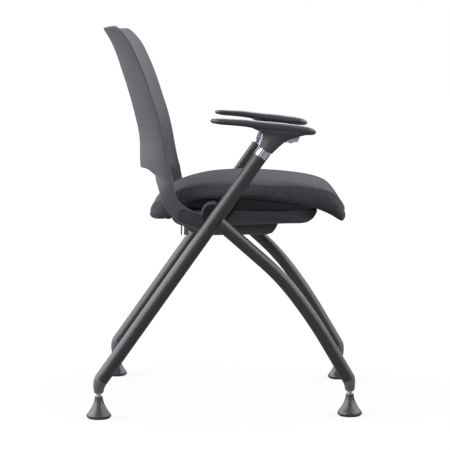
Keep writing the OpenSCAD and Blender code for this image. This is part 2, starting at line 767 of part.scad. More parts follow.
module seat_pan() {
    lower = [for (ring = pan_lower_rings) [for (i = [0 : cushion_points - 1])
        let (
            p = plan_point(i, ring[0], pan_mid, pan_half),
            wide = mix(1, cushion_w / 2 / half_width(p[1]), ring[2])
        )
        [pan_w_share * p[0] * wide, p[1], pan_z(p[0], p[1], ring[1])]]];
    upper = [for (i = [len(seated_rings) - 1 : -1 : 0]) seated_ring(seated_rings[i], seat_gap)];
    color(plastic_colour) at_pivot() difference() {
        loft(concat(lower, upper), true);
        along_x(-cushion_w, cushion_w, hub_r + hub_clear);
        for (side = [1, -1]) at_side(side) bracket_flanges(seat_gap);
        spine_bar(seat_gap);
        seat_screw_bars(0, bracket_flange_t + pan_screw_l, seat_screw_r + run_fit);
        seat_screw_bars(-crown_h, 0, seat_head_r + seat_gap);
    }
}

// Seat brackets: a hub on the cross tube, a level flange, and an arm that follows the pan forwards
bracket_flange_t = 3;
bracket_arm_w = 20;
pan_screw_l = 4.5;
bracket_top = base_z(0, 0) - pan_t - seat_gap;
bracket_flat_y = -0.14123 * cushion_l;
bracket_front_y = -0.33713 * cushion_l;
bracket_fall_h = base_z(0, bracket_flat_y) - base_z(0, bracket_front_y);
bracket_arm_fall = atan(bracket_fall_h / (bracket_flat_y - bracket_front_y));
bracket_web_t = 5;
bracket_web_short = 8;
bracket_web_end_y = bracket_front_y + bracket_web_short;
seat_screw_y_shares = [-0.113895, -0.068337];
seat_screw_r = 2;
seat_head_r = 4;
seat_head_t = 2;
seat_head_side = 2;
seat_screw_x = seat_hub_x0 + bracket_web_t + seat_head_r + seat_head_side;

module seat_screw_bars(z0, z1, r) {
    z = bracket_top - bracket_flange_t + z0;
    for (side = [1, -1], share = seat_screw_y_shares)
        at_side(side) translate([seat_screw_x, share * cushion_l, z]) cylinder(h = z1 - z0, r = r);
}

// Level flange and sloping arm of a bracket, each side grown by g
module bracket_flanges(g) {
    w = bracket_arm_w + 2 * g;
    t = bracket_flange_t + 2 * g;
    translate([seat_hub_x0 - g, bracket_flat_y, bracket_top + g - t]) cube([w, -bracket_flat_y + g, t]);
    translate([seat_hub_x0 - g, bracket_flat_y, bracket_top + g]) rotate([bracket_arm_fall, 0, 0])
        translate([0, bracket_front_y - bracket_flat_y - g, -t])
            cube([w, bracket_flat_y - bracket_front_y + g, t]);
}

module seat_bracket(side) {
    mid = bracket_top - bracket_flange_t / 2;
    front_z = bracket_top - (bracket_flat_y - bracket_web_end_y) * tan(bracket_arm_fall);
    color(steel_colour) at_side(side) at_pivot() difference() {
        union() {
            along_x(seat_hub_x0, seat_hub_x1, hub_r);
            dog(seat_hub_x1 - cut, seat_hub_x1 + dog_l - seat_gap, cross_r, collar_r - dog_step,
                seat_dog_at, dog_arc);
            bracket_flanges(0);
            translate([seat_hub_x0, 0, 0]) rotate([90, 0, 90]) linear_extrude(bracket_web_t) polygon([
                [0, mid], [bracket_flat_y, mid],
                [bracket_web_end_y, front_z - bracket_flange_t / 2],
                [bracket_web_end_y, front_z - 3 * bracket_flange_t],
                [bracket_flat_y, 0], [0, -hub_r / 2]
            ]);
        }
        along_x(seat_hub_x0 - cut, seat_hub_x1 + dog_l, bush_r + press_fit);
        seat_screw_bars(-cut, bracket_flange_t + cut, seat_screw_r + run_fit);
    }
}

// Folded steel channel that ties the two seat brackets together under the pan
spine_y0 = -0.132118 * cushion_l;
spine_y1 = -0.072893 * cushion_l;
spine_h = 14;
spine_t = 2.5;
spine_half = seat_hub_x0 - weld_gap;
module spine_bar(g) {
    translate([-spine_half - g, spine_y0 - g, bracket_top - spine_h])
        cube([2 * spine_half + 2 * g, spine_y1 - spine_y0 + 2 * g, spine_h + g]);
}

module seat_spine() {
    color(steel_colour) at_pivot() difference() {
        spine_bar(0);
        translate([-spine_half - cut, spine_y0 + spine_t, bracket_top - spine_h - cut])
            cube([2 * spine_half + 2 * cut, spine_y1 - spine_y0 - 2 * spine_t, spine_h - spine_t + cut]);
    }
}

// Covers under the seat

// Outline of a rectangle with round corners
function round_rect(x, y0, y1, r, n) =
    [for (q = [0 : 3], i = [0 : n])
        let (
            a = 90 * (q + i / n),
            side = q == 0 || q == 3 ? 1 : -1,
            mid_y = q < 2 ? y1 - r : y0 + r
        )
        [side * (x - r) + r * cos(a), mid_y + r * sin(a)]];

// Side view of the cover: [place, height] over cushion_l and crown_h, from the cross tube's axis
cover_side_shares = [
    [-0.513, -0.09], [-0.487, -0.22], [-0.462, -0.3], [-0.43, -0.34], [-0.32, -0.352], [-0.09, -0.405],
    [0.05, -0.44], [0.1, -0.445], [0.15, -0.42], [0.185, -0.35], [0.205, -0.25]
];
// Front view of the cover's left half: [half width, height] over cover_w and crown_h
cover_front_shares = [[0.5, 0.1], [0.492, -0.15], [0.475, -0.3], [0.44, -0.41], [0.39, -0.47]];
cover_corner_r = 58;

cover_top_steps = 14;
corner_steps = 10;
// Point of an outline drawn in by t at each side about mid, and by t at its lower edge
function drawn_in(p, mid, half, drop, t) = [mid + (p[0] - mid) * (1 - t / half), p[1] * (1 - t / drop)];

module cover_solid(t) {
    y0 = cover_side_shares[0][0] * cushion_l;
    y1 = cover_side_shares[len(cover_side_shares) - 1][0] * cushion_l;
    drop = -cover_front_shares[len(cover_front_shares) - 1][1] * crown_h;
    mid = (y0 + y1) / 2;
    half_l = (y1 - y0) / 2;
    low = [for (p = cover_side_shares) drawn_in([p[0] * cushion_l, p[1] * crown_h], mid, half_l, drop, t)];
    top = [for (i = [1 : cover_top_steps - 1])
        let (y = mix(y1, y0, i / cover_top_steps))
        drawn_in([y, crown_h * smooth_at(seat_share(y), cover_top_shares)], mid, half_l, drop, t)
            + [0, t > 0 ? 2 * cut : 0]];
    half = [for (p = cover_front_shares) drawn_in([p[0] * cover_w, p[1] * crown_h], 0, cover_w / 2, drop, t)];
    front = concat(half, [for (i = [len(half) - 1 : -1 : 0]) [-half[i][0], half[i][1]]]);
    intersection() {
        translate([-cover_w, 0, 0]) rotate([90, 0, 90]) linear_extrude(2 * cover_w) polygon(concat(low, top));
        translate([0, cushion_l, 0]) rotate([90, 0, 0]) linear_extrude(2 * cushion_l) polygon(front);
        translate([0, 0, -crown_h]) linear_extrude(2 * crown_h)
            polygon(round_rect(cover_w / 2 - t, y0 + t, y1 - t, cover_corner_r - t, corner_steps));
    }
}

// Side view of the mechanism cover
mech_side_shares = [
    [-0.32, -0.2], [-0.32, -0.45], [-0.306, -0.58], [-0.29, -0.68], [-0.26, -0.74], [-0.15, -0.742],
    [0.042, -0.766], [0.092, -0.7], [0.12, -0.62], [0.152, -0.49], [0.16, -0.2]
];
mech_front_shares = [[0.5, 0], [0.49, -0.55], [0.46, -0.7], [0.41, -0.78]];
mech_corner_r = 30;

module mech_solid(t) {
    y0 = mech_side_shares[0][0] * cushion_l;
    y1 = mech_side_shares[len(mech_side_shares) - 1][0] * cushion_l;
    drop = -mech_front_shares[len(mech_front_shares) - 1][1] * crown_h;
    mid = (y0 + y1) / 2;
    half_l = (y1 - y0) / 2;
    side = [for (p = mech_side_shares) drawn_in([p[0] * cushion_l, p[1] * crown_h], mid, half_l, drop, t)];
    half = [for (p = mech_front_shares) drawn_in([p[0] * mech_w, p[1] * crown_h], 0, mech_w / 2, drop, t)];
    front = concat(half, [for (i = [len(half) - 1 : -1 : 0]) [-half[i][0], half[i][1]]]);
    intersection() {
        translate([-mech_w, 0, 0]) rotate([90, 0, 90]) linear_extrude(2 * mech_w) polygon(side);
        translate([0, cushion_l, 0]) rotate([90, 0, 0]) linear_extrude(2 * cushion_l) polygon(front);
        translate([0, 0, -crown_h]) linear_extrude(2 * crown_h)
            polygon(round_rect(mech_w / 2 - t, y0 + t, y1 - t, mech_corner_r - t, corner_steps));
    }
}

catch_w = 24;
catch_t = 2.5;
catch_y1 = 0.168565 * cushion_l;
catch_block_y = 0.129841 * cushion_l;
catch_block_l = 10;
catch_drop = 0.857143 * crown_h;
catch_room = 8;
catch_base_z = -0.36 * crown_h;

module under_cover() {
    color(plastic_colour) at_pivot() difference() {
        cover_solid(0);
        cover_solid(cover_wall);
        along_x(-cover_w, cover_w, hub_r + hub_clear);
        translate([-catch_w / 2 - seat_gap, catch_block_y - seat_gap, -crown_h]) cube([
            catch_w + 2 * seat_gap,
            catch_y1 - catch_block_y + 2 * seat_gap,
            crown_h + catch_base_z + seat_gap
        ]);
    }
}

module mechanism_cover() {
    color(plastic_colour) at_pivot() difference() {
        mech_solid(0);
        mech_solid(cover_wall);
        translate([0, 0, -seat_gap]) cover_solid(0);
        translate([-catch_w, catch_block_y - catch_room, -crown_h]) cube([2 * catch_w, crown_h, crown_h]);
    }
}

// Steel catch behind the mechanism cover: a hanging plate and a block with a slot between them
module rear_catch() {
    color(steel_colour) at_pivot() {
        translate([-catch_w / 2, catch_y1 - catch_t, -catch_drop])
            cube([catch_w, catch_t, catch_drop + catch_base_z]);
        translate([-catch_w / 2, catch_block_y, -catch_drop])
            cube([catch_w, catch_block_l, catch_drop + catch_base_z]);
        translate([-catch_w / 2, catch_block_y, catch_base_z - catch_t])
            cube([catch_w, catch_y1 - catch_block_y, catch_t]);
    }
}

// Screws up through the bracket flanges into the pan
module seat_screws() {
    color(steel_colour) at_pivot() {
        seat_screw_bars(-seat_head_t, bracket_flange_t + pan_screw_l - seat_gap, seat_screw_r);
        seat_screw_bars(-seat_head_t, 0, seat_head_r);
    }
}

// Back, measured from the cross tube's axis

// Height rows: height over back_h, place over back_reach
back_mid_shares = [
    [0.1, 0.672], [0.21, 0.672], [0.26, 0.68], [0.358, 0.677], [0.427, 0.686], [0.494, 0.714],
    [0.563, 0.739], [0.63, 0.77], [0.7, 0.801], [0.766, 0.839], [0.835, 0.872], [0.902, 0.913],
    [0.936, 0.938], [0.959, 0.959], [0.982, 0.985], [1, 1.005]
];
back_edge_shares = [
    [0.1, 0.318], [0.152, 0.33], [0.219, 0.366], [0.319, 0.4], [0.414, 0.429], [0.532, 0.478],
    [0.635, 0.536], [0.738, 0.59], [0.83, 0.652], [0.918, 0.718], [0.967, 0.76], [1, 0.8]
];
// Stations down an arm: front edge and rear edge, as [place over back_reach, height over back_h]
arm_front_shares = [
    [0.352, 0.19], [0.34, 0.155], [0.326, 0.118], [0.311, 0.085], [0.286, 0.06], [0.246, 0.04],
    [0.2, 0.024], [0.15, 0.01], [0.1, -0.004], [0.055, -0.018], [0.02, -0.036], [0.006, -0.056]
];
arm_rear_shares = [
    [0.502, 0.178], [0.482, 0.148], [0.463, 0.11], [0.444, 0.07], [0.418, 0.03], [0.38, -0.004],
    [0.33, -0.034], [0.27, -0.06], [0.2, -0.084], [0.135, -0.1], [0.075, -0.104], [0.02, -0.088]
];
arm_rear_x_shares = [0.9, 0.945, 0.975, 0.995, 1, 1, 1, 1, 1, 1, 1, 1];
back_cols = 13;
arch_col = 9;
back_rows = 14;
// Rows above an arm over which the shell grows to the arm's thickness
thick_rows = 4;
arm_turn_power = 1.5;
arm_rows = len(arm_front_shares);
// Lower edge between the arms: place over the back's width, height over back_h
arch_shares = [[0, 0.2226], [0.2, 0.225], [0.4, 0.23], [0.54, 0.228], [0.62, 0.214], [0.7, 0.2]];
back_wrap_low = 88;
back_wrap_top = 58;
// Heights over back_h from which, and over which, the back grows wider and flatter
widen_from = 0.2;
widen_span = 0.7;
unwrap_from = 0.15;
unwrap_span = 0.8;

function back_w(h) = mix(arm_x1, back_top_w / 2, ease((h / back_h - widen_from) / widen_span));
function back_wrap(h) = mix(back_wrap_low, back_wrap_top, ease((h / back_h - unwrap_from) / unwrap_span));
function back_x(h, t) = back_w(h) * sin(t * back_wrap(h)) / sin(back_wrap(h));
function back_y(h, t) =
    let (
        s = h / back_h,
        mid = back_reach * smooth_at(s, back_mid_shares),
        edge = back_reach * smooth_at(s, back_edge_shares)
    )
    mid - (mid - edge) * (1 - cos(t * back_wrap(h))) / (1 - cos(back_wrap(h)));
// Height of the upper edge and of the arch's edge over column t
function back_top_at(t) =
    let (over = max(0, abs(back_x(back_h, t)) - (back_top_w / 2 - back_corner_r)))
    back_h + back_rise * pow(t, 2) - back_corner_r
        + sqrt(max(0, pow(back_corner_r, 2) - pow(over, 2)));
function arch_at(t) = back_h * smooth_at(abs(t), arch_shares);

// Row i, column j of the outer face; rows past back_rows run down the arms
function back_point(i, j) =
    let (t = j / back_cols)
    i < back_rows
    ? let (h = mix(back_top_at(t), arch_at(t), i / (back_rows - 1))) [back_x(h, t), back_y(h, t), h]
    : let (
        k = i - back_rows,
        s = (back_cols - abs(j)) / (back_cols - arch_col),
        f = arm_front_shares[k],
        r = arm_rear_shares[k],
        x = arm_x1 * (1 - (1 - arm_rear_x_shares[k]) * pow(s, arm_turn_power))
    )
    [sign(j) * x, back_reach * mix(f[0], r[0], s), back_h * mix(f[1], r[1], s)];

function has_arm(j) = abs(j) >= arch_col;
function back_low(i, j) =
    i > 0 && !(i >= back_rows && !has_arm(j)) ? i - 1 : i;
function back_high(i, j) =
    let (n = i + 1)
    n < back_rows || (n < back_rows + arm_rows && has_arm(j)) ? n : i;
function back_left(i, j) = j > -back_cols && (i < back_rows || has_arm(j - 1)) ? j - 1 : j;
function back_right(i, j) = j < back_cols && (i < back_rows || has_arm(j + 1)) ? j + 1 : j;
function back_normal(i, j) =
    unit(cross(
        back_point(i, back_right(i, j)) - back_point(i, back_left(i, j)),
        back_point(back_high(i, j), j) - back_point(back_low(i, j), j)
    ));
function back_inner(i, j) =
    back_point(i, j) - mix(shell_t, back_arm_t, ease(1 + (i - back_rows) / thick_rows)) * back_normal(i, j);

// Position in the point list; the arms' rows follow the rows of the panel
panel_n = 2 * back_cols + 1;
arm_n = back_cols - arch_col + 1;
function back_index(i, j) =
    i < back_rows
    ? i * panel_n + j + back_cols
    : back_rows * panel_n + (i - back_rows) * 2 * arm_n + (j > 0 ? arm_n + j - arch_col : -j - arch_col);
back_count = back_rows * panel_n + arm_rows * 2 * arm_n;
all_cols = [for (j = [-back_cols : back_cols]) j];
left_cols = [for (j = [arch_col : back_cols]) j];
right_cols = [for (j = [arch_col : back_cols]) -j];
function face_pair(a, b, c, d) = [[a, c, b], [a, d, c]];

module back_skin() {
    last = back_rows + arm_rows - 1;
    arm_cols = concat(right_cols, left_cols);
    outer = concat(
        [for (i = [0 : back_rows - 1], j = all_cols) back_point(i, j)],
        [for (i = [back_rows : last], j = arm_cols) back_point(i, j)]);
    inner = concat(
        [for (i = [0 : back_rows - 1], j = all_cols) back_inner(i, j)],
        [for (i = [back_rows : last], j = arm_cols) back_inner(i, j)]);
    quads = concat(
        [for (i = [0 : back_rows - 2], j = [-back_cols : back_cols - 1]) [i, j]],
        [for (i = [back_rows - 1 : last - 1], j = [-back_cols : back_cols - 1])
            if (j >= arch_col || j < -arch_col) [i, j]]);
    skin = [for (q = quads)
        let (
            a = back_index(q[0], q[1]),
            b = back_index(q[0], q[1] + 1),
            c = back_index(q[0] + 1, q[1] + 1),
            d = back_index(q[0] + 1, q[1])
        )
        each concat(
            face_pair(a, b, c, d),
            face_pair(d + back_count, c + back_count, b + back_count, a + back_count)
        )];
    // Edges, each run so that the skin lies on the same side of it
    rim = concat(
        [for (j = [-back_cols : back_cols - 1]) [back_index(0, j + 1), back_index(0, j)]],
        [for (i = [0 : last - 1]) [back_index(i, -back_cols), back_index(i + 1, -back_cols)]],
        [for (i = [0 : last - 1]) [back_index(i + 1, back_cols), back_index(i, back_cols)]],
        [for (j = [-back_cols : back_cols - 1]) if (j >= arch_col || j < -arch_col)
            [back_index(last, j), back_index(last, j + 1)]],
        [for (j = [-arch_col : arch_col - 1])
            [back_index(back_rows - 1, j), back_index(back_rows - 1, j + 1)]],
        [for (i = [back_rows - 1 : last - 1]) [back_index(i, arch_col), back_index(i + 1, arch_col)]],
        [for (i = [back_rows - 1 : last - 1]) [back_index(i + 1, -arch_col), back_index(i, -arch_col)]]);
    walls = [for (e = rim) each face_pair(e[0], e[1], e[1] + back_count, e[0] + back_count)];
    polyhedron(points = concat(outer, inner), faces = concat(skin, walls));
}

// Oval cover on an arm, and the screws under it
oval_lean = 18;
oval_mid_y = 43;
oval_mid_z = -11;
oval_mid = [oval_mid_y, oval_mid_z];
oval_r = oval_w / 2;
oval_t = 2.5;
oval_fit = 0.15;
oval_run = (oval_l - oval_w) / 2 * [cos(oval_lean), sin(oval_lean)];
back_screw_r = 3;
back_screw_head_r = 5;
back_screw_head_t = 1.5;
back_screw_run_share = 0.8;

module oval_plate(x0, x1, grow) {
    bar_plate(oval_mid - oval_run, oval_mid + oval_run, oval_r + grow, x0, x1);
}

module back_screw_bars(x0, x1, r) {
    for (s = [-1, 1]) {
        p = oval_mid + s * back_screw_run_share * oval_run;
        translate([0, p[0], p[1]]) along_x(x0, x1, r);
    }
}

module back_shell() {
    color(plastic_colour) at_pivot() difference() {
        back_skin();
        for (side = [1, -1]) at_side(side) {
            head_x0 = arm_x1 - oval_t - back_screw_head_t - seat_gap;
            along_x(arm_x0 - cut, arm_x1 + cut, cross_r + hub_clear);
            oval_plate(arm_x1 - oval_t, arm_x1 + cut, oval_fit);
            back_screw_bars(arm_x0 - cut, arm_x1, back_screw_r + run_fit);
            back_screw_bars(head_x0, arm_x1, back_screw_head_r + seat_gap);
        }
    }
}

module oval_cover(side) {
    color(pad_colour) at_side(side) at_pivot()
        oval_plate(arm_x1 - oval_t, arm_x1 - seat_gap, 0);
}

// Steel bracket inside a back arm: its hub turns on the cross tube
bracket_knee_shares = [[0, -0.0166], [0.1573, -0.0414], [0.2733, 0.0041], [0.3188, 0.0414]];
bracket_knees = back_reach * bracket_knee_shares;
bracket_bar_r = 11;
function run_side(i) =
    let (
        n = len(bracket_knees),
        d = unit(bracket_knees[min(n - 1, i + 1)] - bracket_knees[max(0, i - 1)])
    )
    bracket_bar_r * [-d[1], d[0]];
module back_bracket(side) {
    n = len(bracket_knees);
    color(steel_colour) at_side(side) at_pivot() difference() {
        union() {
            along_x(back_hub_x0, bracket_x1, hub_r);
            dog(back_hub_x0 - dog_l + seat_gap, back_hub_x0 + cut, cross_r, collar_r - dog_step,
                back_dog_at, dog_arc);
            translate([bracket_x0, 0, 0]) rotate([90, 0, 90]) linear_extrude(back_bracket_t) polygon(concat(
                [for (i = [0 : n - 1]) bracket_knees[i] + run_side(i)],
                [for (i = [n - 1 : -1 : 0]) bracket_knees[i] - run_side(i)]));
        }
        along_x(back_hub_x0 - dog_l - cut, bracket_x1 + cut, bush_r + press_fit);
        back_screw_bars(bracket_x0 - cut, bracket_x1 + cut, back_screw_r + run_fit);
    }
}

module back_screws() {
    color(steel_colour) for (side = [1, -1]) at_side(side) at_pivot() {
        back_screw_bars(bracket_x0 - back_screw_head_t, arm_x1 - oval_t - seat_gap, back_screw_r);
        back_screw_bars(arm_x1 - oval_t - back_screw_head_t, arm_x1 - oval_t - seat_gap, back_screw_head_r);
    }
}

rear_leg(1);  // left_rear_leg
rear_leg(-1);  // right_rear_leg
front_leg(1);  // left_front_leg
front_leg(-1);  // right_front_leg
leg_cap(false, 1);  // rear_left_cap
leg_cap(false, -1);  // rear_right_cap
leg_cap(true, 1);  // front_left_cap
leg_cap(true, -1);  // front_right_cap
stem(false, 1);  // rear_left_stem
stem(false, -1);  // rear_right_stem
stem(true, 1);  // front_left_stem
stem(true, -1);  // front_right_stem
glide(false, 1);  // rear_left_glide
glide(false, -1);  // rear_right_glide
glide(true, 1);  // front_left_glide
glide(true, -1);  // front_right_glide
sole(false, 1);  // rear_left_sole
sole(false, -1);  // rear_right_sole
sole(true, 1);  // front_left_sole
sole(true, -1);  // front_right_sole
cross_tube();
mounting_plate(1);  // left_mounting_plate
mounting_plate(-1);  // right_mounting_plate
frame_bolts();
stop_collar(1);  // left_stop_collar
stop_collar(-1);  // right_stop_collar
arm_casting(1);  // left_arm_casting
arm_casting(-1);  // right_arm_casting
arm_neck(1);  // left_arm_neck
arm_neck(-1);  // right_arm_neck
arm_pad(1);  // left_arm_pad
arm_pad(-1);  // right_arm_pad
arm_screws();
seat_cushion();
seat_pan();
under_cover();
mechanism_cover();
seat_spine();
rear_catch();
seat_bracket(1);  // left_seat_bracket
seat_bracket(-1);  // right_seat_bracket
bush(1, seat_hub_x0, seat_hub_x1);  // left_seat_bush
bush(-1, seat_hub_x0, seat_hub_x1);  // right_seat_bush
seat_screws();
back_shell();
back_bracket(1);  // left_back_bracket
back_bracket(-1);  // right_back_bracket
bush(1, back_hub_x0, bracket_x1);  // left_back_bush
bush(-1, back_hub_x0, bracket_x1);  // right_back_bush
oval_cover(1);  // left_oval_cover
oval_cover(-1);  // right_oval_cover
back_screws();
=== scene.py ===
# %% [markdown]
# # A nesting chair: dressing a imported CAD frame
# The construction, the joints and the real sizes come from the CAD frame, which this script loads
# and never moves. What follows gives the chair its surfaces: a smooth moulded back, a stuffed seat
# with a stitched seam, moulded covers, soft arm pads, powder coated tubes and a white studio.

# %% Load the frame
import math

import bmesh
import bpy
import numpy as np
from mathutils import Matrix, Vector
from mathutils.bvhtree import BVHTree
from mathutils.kdtree import KDTree


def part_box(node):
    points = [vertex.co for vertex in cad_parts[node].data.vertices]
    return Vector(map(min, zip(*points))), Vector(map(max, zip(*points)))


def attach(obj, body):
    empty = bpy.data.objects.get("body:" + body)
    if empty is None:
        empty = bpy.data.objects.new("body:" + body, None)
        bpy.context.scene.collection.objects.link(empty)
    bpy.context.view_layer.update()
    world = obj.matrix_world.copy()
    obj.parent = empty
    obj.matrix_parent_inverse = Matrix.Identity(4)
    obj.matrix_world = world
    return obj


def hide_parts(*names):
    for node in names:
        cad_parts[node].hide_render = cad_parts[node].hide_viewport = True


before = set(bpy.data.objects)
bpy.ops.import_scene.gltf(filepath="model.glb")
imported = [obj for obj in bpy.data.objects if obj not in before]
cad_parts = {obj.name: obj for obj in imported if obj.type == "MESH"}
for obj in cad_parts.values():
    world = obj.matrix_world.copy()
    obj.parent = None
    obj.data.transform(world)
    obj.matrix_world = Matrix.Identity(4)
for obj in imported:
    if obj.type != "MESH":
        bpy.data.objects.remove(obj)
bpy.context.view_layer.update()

MM = 0.001

# %% [markdown]
# ## Where things are
# The seat and the back turn on one cross tube. Its axis is the middle of a bush's box, so every
# form below that is measured from that axis follows the frame if the frame changes.

# %% Places read from the frame
bush_low, bush_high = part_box("left_back_bush")
axis_y, axis_z = ((bush_low + bush_high) / 2)[1:]
sides = {"left": 1, "right": -1}
ends = {"rear": 1, "front": -1}

# %% [markdown]
# ## Camera
# A side view with a long lens, from a little above the seat. The place, the turn and the focal
# length were solved from points of the chair whose real places are known.

# %% Camera
def add_object(name, data):
    new = bpy.data.objects.new(name, data)
    bpy.context.scene.collection.objects.link(new)
    return new


view_from = Vector((-4.0946, -0.0423, 0.7656))
view_yaw, view_pitch = math.radians(0.621), math.radians(5.33)
frame_px, focal_px, sensor_mm = 450, 1850, 36

view_dir = Vector((math.cos(view_yaw) * math.cos(view_pitch),
                   math.sin(view_yaw) * math.cos(view_pitch), -math.sin(view_pitch)))
camera = add_object("camera", bpy.data.cameras.new("camera"))
camera.data.sensor_width = sensor_mm
camera.data.lens = focal_px * sensor_mm / frame_px
camera.data.clip_end = 50
camera.location = view_from
camera.rotation_euler = view_dir.to_track_quat("-Z", "Y").to_euler()
bpy.context.scene.camera = camera

# %% [markdown]
# ## Finishes
# Colours are written as sRGB hex values, as a paint card gives them, and one function turns them
# to the linear values that the shader works in. Another adds a node to any tree of nodes.

# %% Colour and node helpers
def to_linear(hex_colour):
    parts = [int(hex_colour[i:i + 2], 16) / 255 for i in (1, 3, 5)]
    linear = [c / 12.92 if c <= 0.04045 else ((c + 0.055) / 1.055) ** 2.4 for c in parts]
    return (*linear, 1.0)


def add_node(tree, kind, settings=None, inputs=None):
    """Adds a node. An input given as a socket is linked, and any other value is set."""
    new = tree.nodes.new(kind)
    for name, value in (settings or {}).items():
        setattr(new, name, value)
    for key, value in (inputs or {}).items():
        if isinstance(value, bpy.types.NodeSocket):
            tree.links.new(value, new.inputs[key])
        else:
            new.inputs[key].default_value = value
    return new


def add_math(tree, operation, *values):
    return add_node(tree, "ShaderNodeMath", {"operation": operation},
                    dict(enumerate(values))).outputs[0]


def add_noise(tree, place, scale, detail):
    return add_node(tree, "ShaderNodeTexNoise",
                    inputs={"Vector": place, "Scale": scale, "Detail": detail}).outputs["Fac"]


def add_range(tree, value, low, high, start=0.0, end=1.0, kind="LINEAR"):
    """A value mapped from start..end to low..high."""
    return add_node(tree, "ShaderNodeMapRange", {"interpolation_type": kind}, {
        "Value": value, "From Min": start, "From Max": end,
        "To Min": low, "To Max": high}).outputs[0]


def add_mix(tree, share, colour_a, colour_b):
    return add_node(tree, "ShaderNodeMix", {"data_type": "RGBA"},
                    {0: share, 6: to_linear(colour_a), 7: to_linear(colour_b)}).outputs[2]


def new_material(name):
    """An empty material with its tree and the object's own coordinates in metres."""
    material = bpy.data.materials.new(name)
    material.use_nodes = True
    tree = material.node_tree
    tree.nodes.clear()
    place = add_node(tree, "ShaderNodeTexCoord").outputs["Object"]
    return material, tree, place


def finish_material(tree, shader):
    add_node(tree, "ShaderNodeOutputMaterial", inputs={"Surface": shader.outputs[0]})


# %% [markdown]
# ### Powder coat, moulded plastic and rubber
# Powder coated steel has a faint orange peel, about a millimetre across. Moulded covers are
# spark eroded, which leaves a fine even grain. Both are the same idea: a colour that varies a
# little, a roughness that varies a little, and a bump whose cells have a real size.

# %% Grained finishes
patches_per_m = 14


def grained(name, colour, worn, roughness, grain_mm, bump_mm,
            specular=0.5, coat=0.0, spread=0.06):
    """A smooth hard surface with a grain: colour is its body, worn the tone of handled places."""
    material, tree, place = new_material(name)
    tone = add_mix(tree, add_noise(tree, place, patches_per_m, 3), colour, worn)
    fine = add_noise(tree, place, 1 / (grain_mm * MM), 2)
    rough = add_range(tree, fine, roughness - spread, roughness + spread)
    bump = add_node(tree, "ShaderNodeBump", inputs={
        "Height": fine, "Strength": 0.35, "Distance": bump_mm * MM})
    shader = add_node(tree, "ShaderNodeBsdfPrincipled", inputs={
        "Base Color": tone, "Roughness": rough, "Normal": bump.outputs[0],
        "Specular IOR Level": specular, "Coat Weight": coat, "Coat Roughness": 0.22})
    finish_material(tree, shader)
    return material


# Name, body colour, worn colour, roughness, grain and its depth in millimetres. Then, where they
# aren't the usual ones, specular level, coat weight and spread of the roughness
powder_coat = grained("powder_coated_steel", "#1e1d23", "#212026", 0.44, 1.2, 0.002,
                      0.85, 0.04, 0.003)
# Painted shade: the plates and bolts sit in the cushion's shadow, and their coat is made darker
# and duller than the tubes' to stand for it
shade_painted_plate = grained("shade_painted_plate_finish", "#1a191d", "#1d1c20", 0.6, 1.2, 0.004, 0.3)
back_nylon = grained("moulded_nylon_back", "#4b4a50", "#504f55", 0.55, 0.9, 0.015)
cover_pp = grained("moulded_pp_cover", "#4f4e54", "#55545a", 0.48, 0.9, 0.015)
pan_pp = grained("moulded_pp_pan", "#34333a", "#38373e", 0.6, 0.9, 0.02, 0.3)
oval_pp = grained("moulded_pp_disc", "#39383e", "#3d3c42", 0.5, 0.9, 0.02, 0.4)
cap_nylon = grained("moulded_nylon_cap", "#626167", "#69686e", 0.45, 0.9, 0.015)
glide_nylon = grained("moulded_nylon_glide", "#37363b", "#3c3b40", 0.36, 0.9, 0.008, 0.8)
arm_pu = grained("integral_skin_arm_pad", "#323138", "#37363d", 0.4, 1.1, 0.004, 0.6, 0.35, 0.01)
rubber = grained("moulded_rubber", "#262529", "#2b2a2e", 0.75, 0.8, 0.05, 0.3)

# %% [markdown]
# ### Metals
# The arm castings are chrome plated, so they mirror the studio. The brackets and screws are zinc
# plated: a duller metal with a cloudy roughness. A metal keeps the default index of refraction.

# %% Metal finishes
def metal(name, colour, rough_low, rough_high, cloud_mm):
    """A metal whose roughness changes in clouds of about cloud_mm."""
    material, tree, place = new_material(name)
    cloud = add_noise(tree, place, 1 / (cloud_mm * MM), 3)
    rough = add_range(tree, cloud, rough_low, rough_high)
    shader = add_node(tree, "ShaderNodeBsdfPrincipled", inputs={
        "Base Color": to_linear(colour), "Metallic": 1.0, "Roughness": rough})
    finish_material(tree, shader)
    return material


chrome = metal("polished_chrome", "#d3d6df", 0.08, 0.16, 40)
zinc = metal("zinc_plated_steel", "#8b8d92", 0.32, 0.5, 6)

# %% [markdown]
# ### Woven seat cloth
# The seat has a plain woven polyester in a dark melange: warp and weft threads of slightly
# different greys. Real threads are about half a millimetre apart, too fine for the picture, so
# they are drawn 1.6 mm apart. The weave reads the object's own coordinates, turned so that the
# two thread directions run along the seat's depth and width.

# %% Seat cloth
thread_mm = 1.6
flecks_per_m, clouds_per_m = 420, 9
fleck_share, cloud_share = 2.2, 0.3


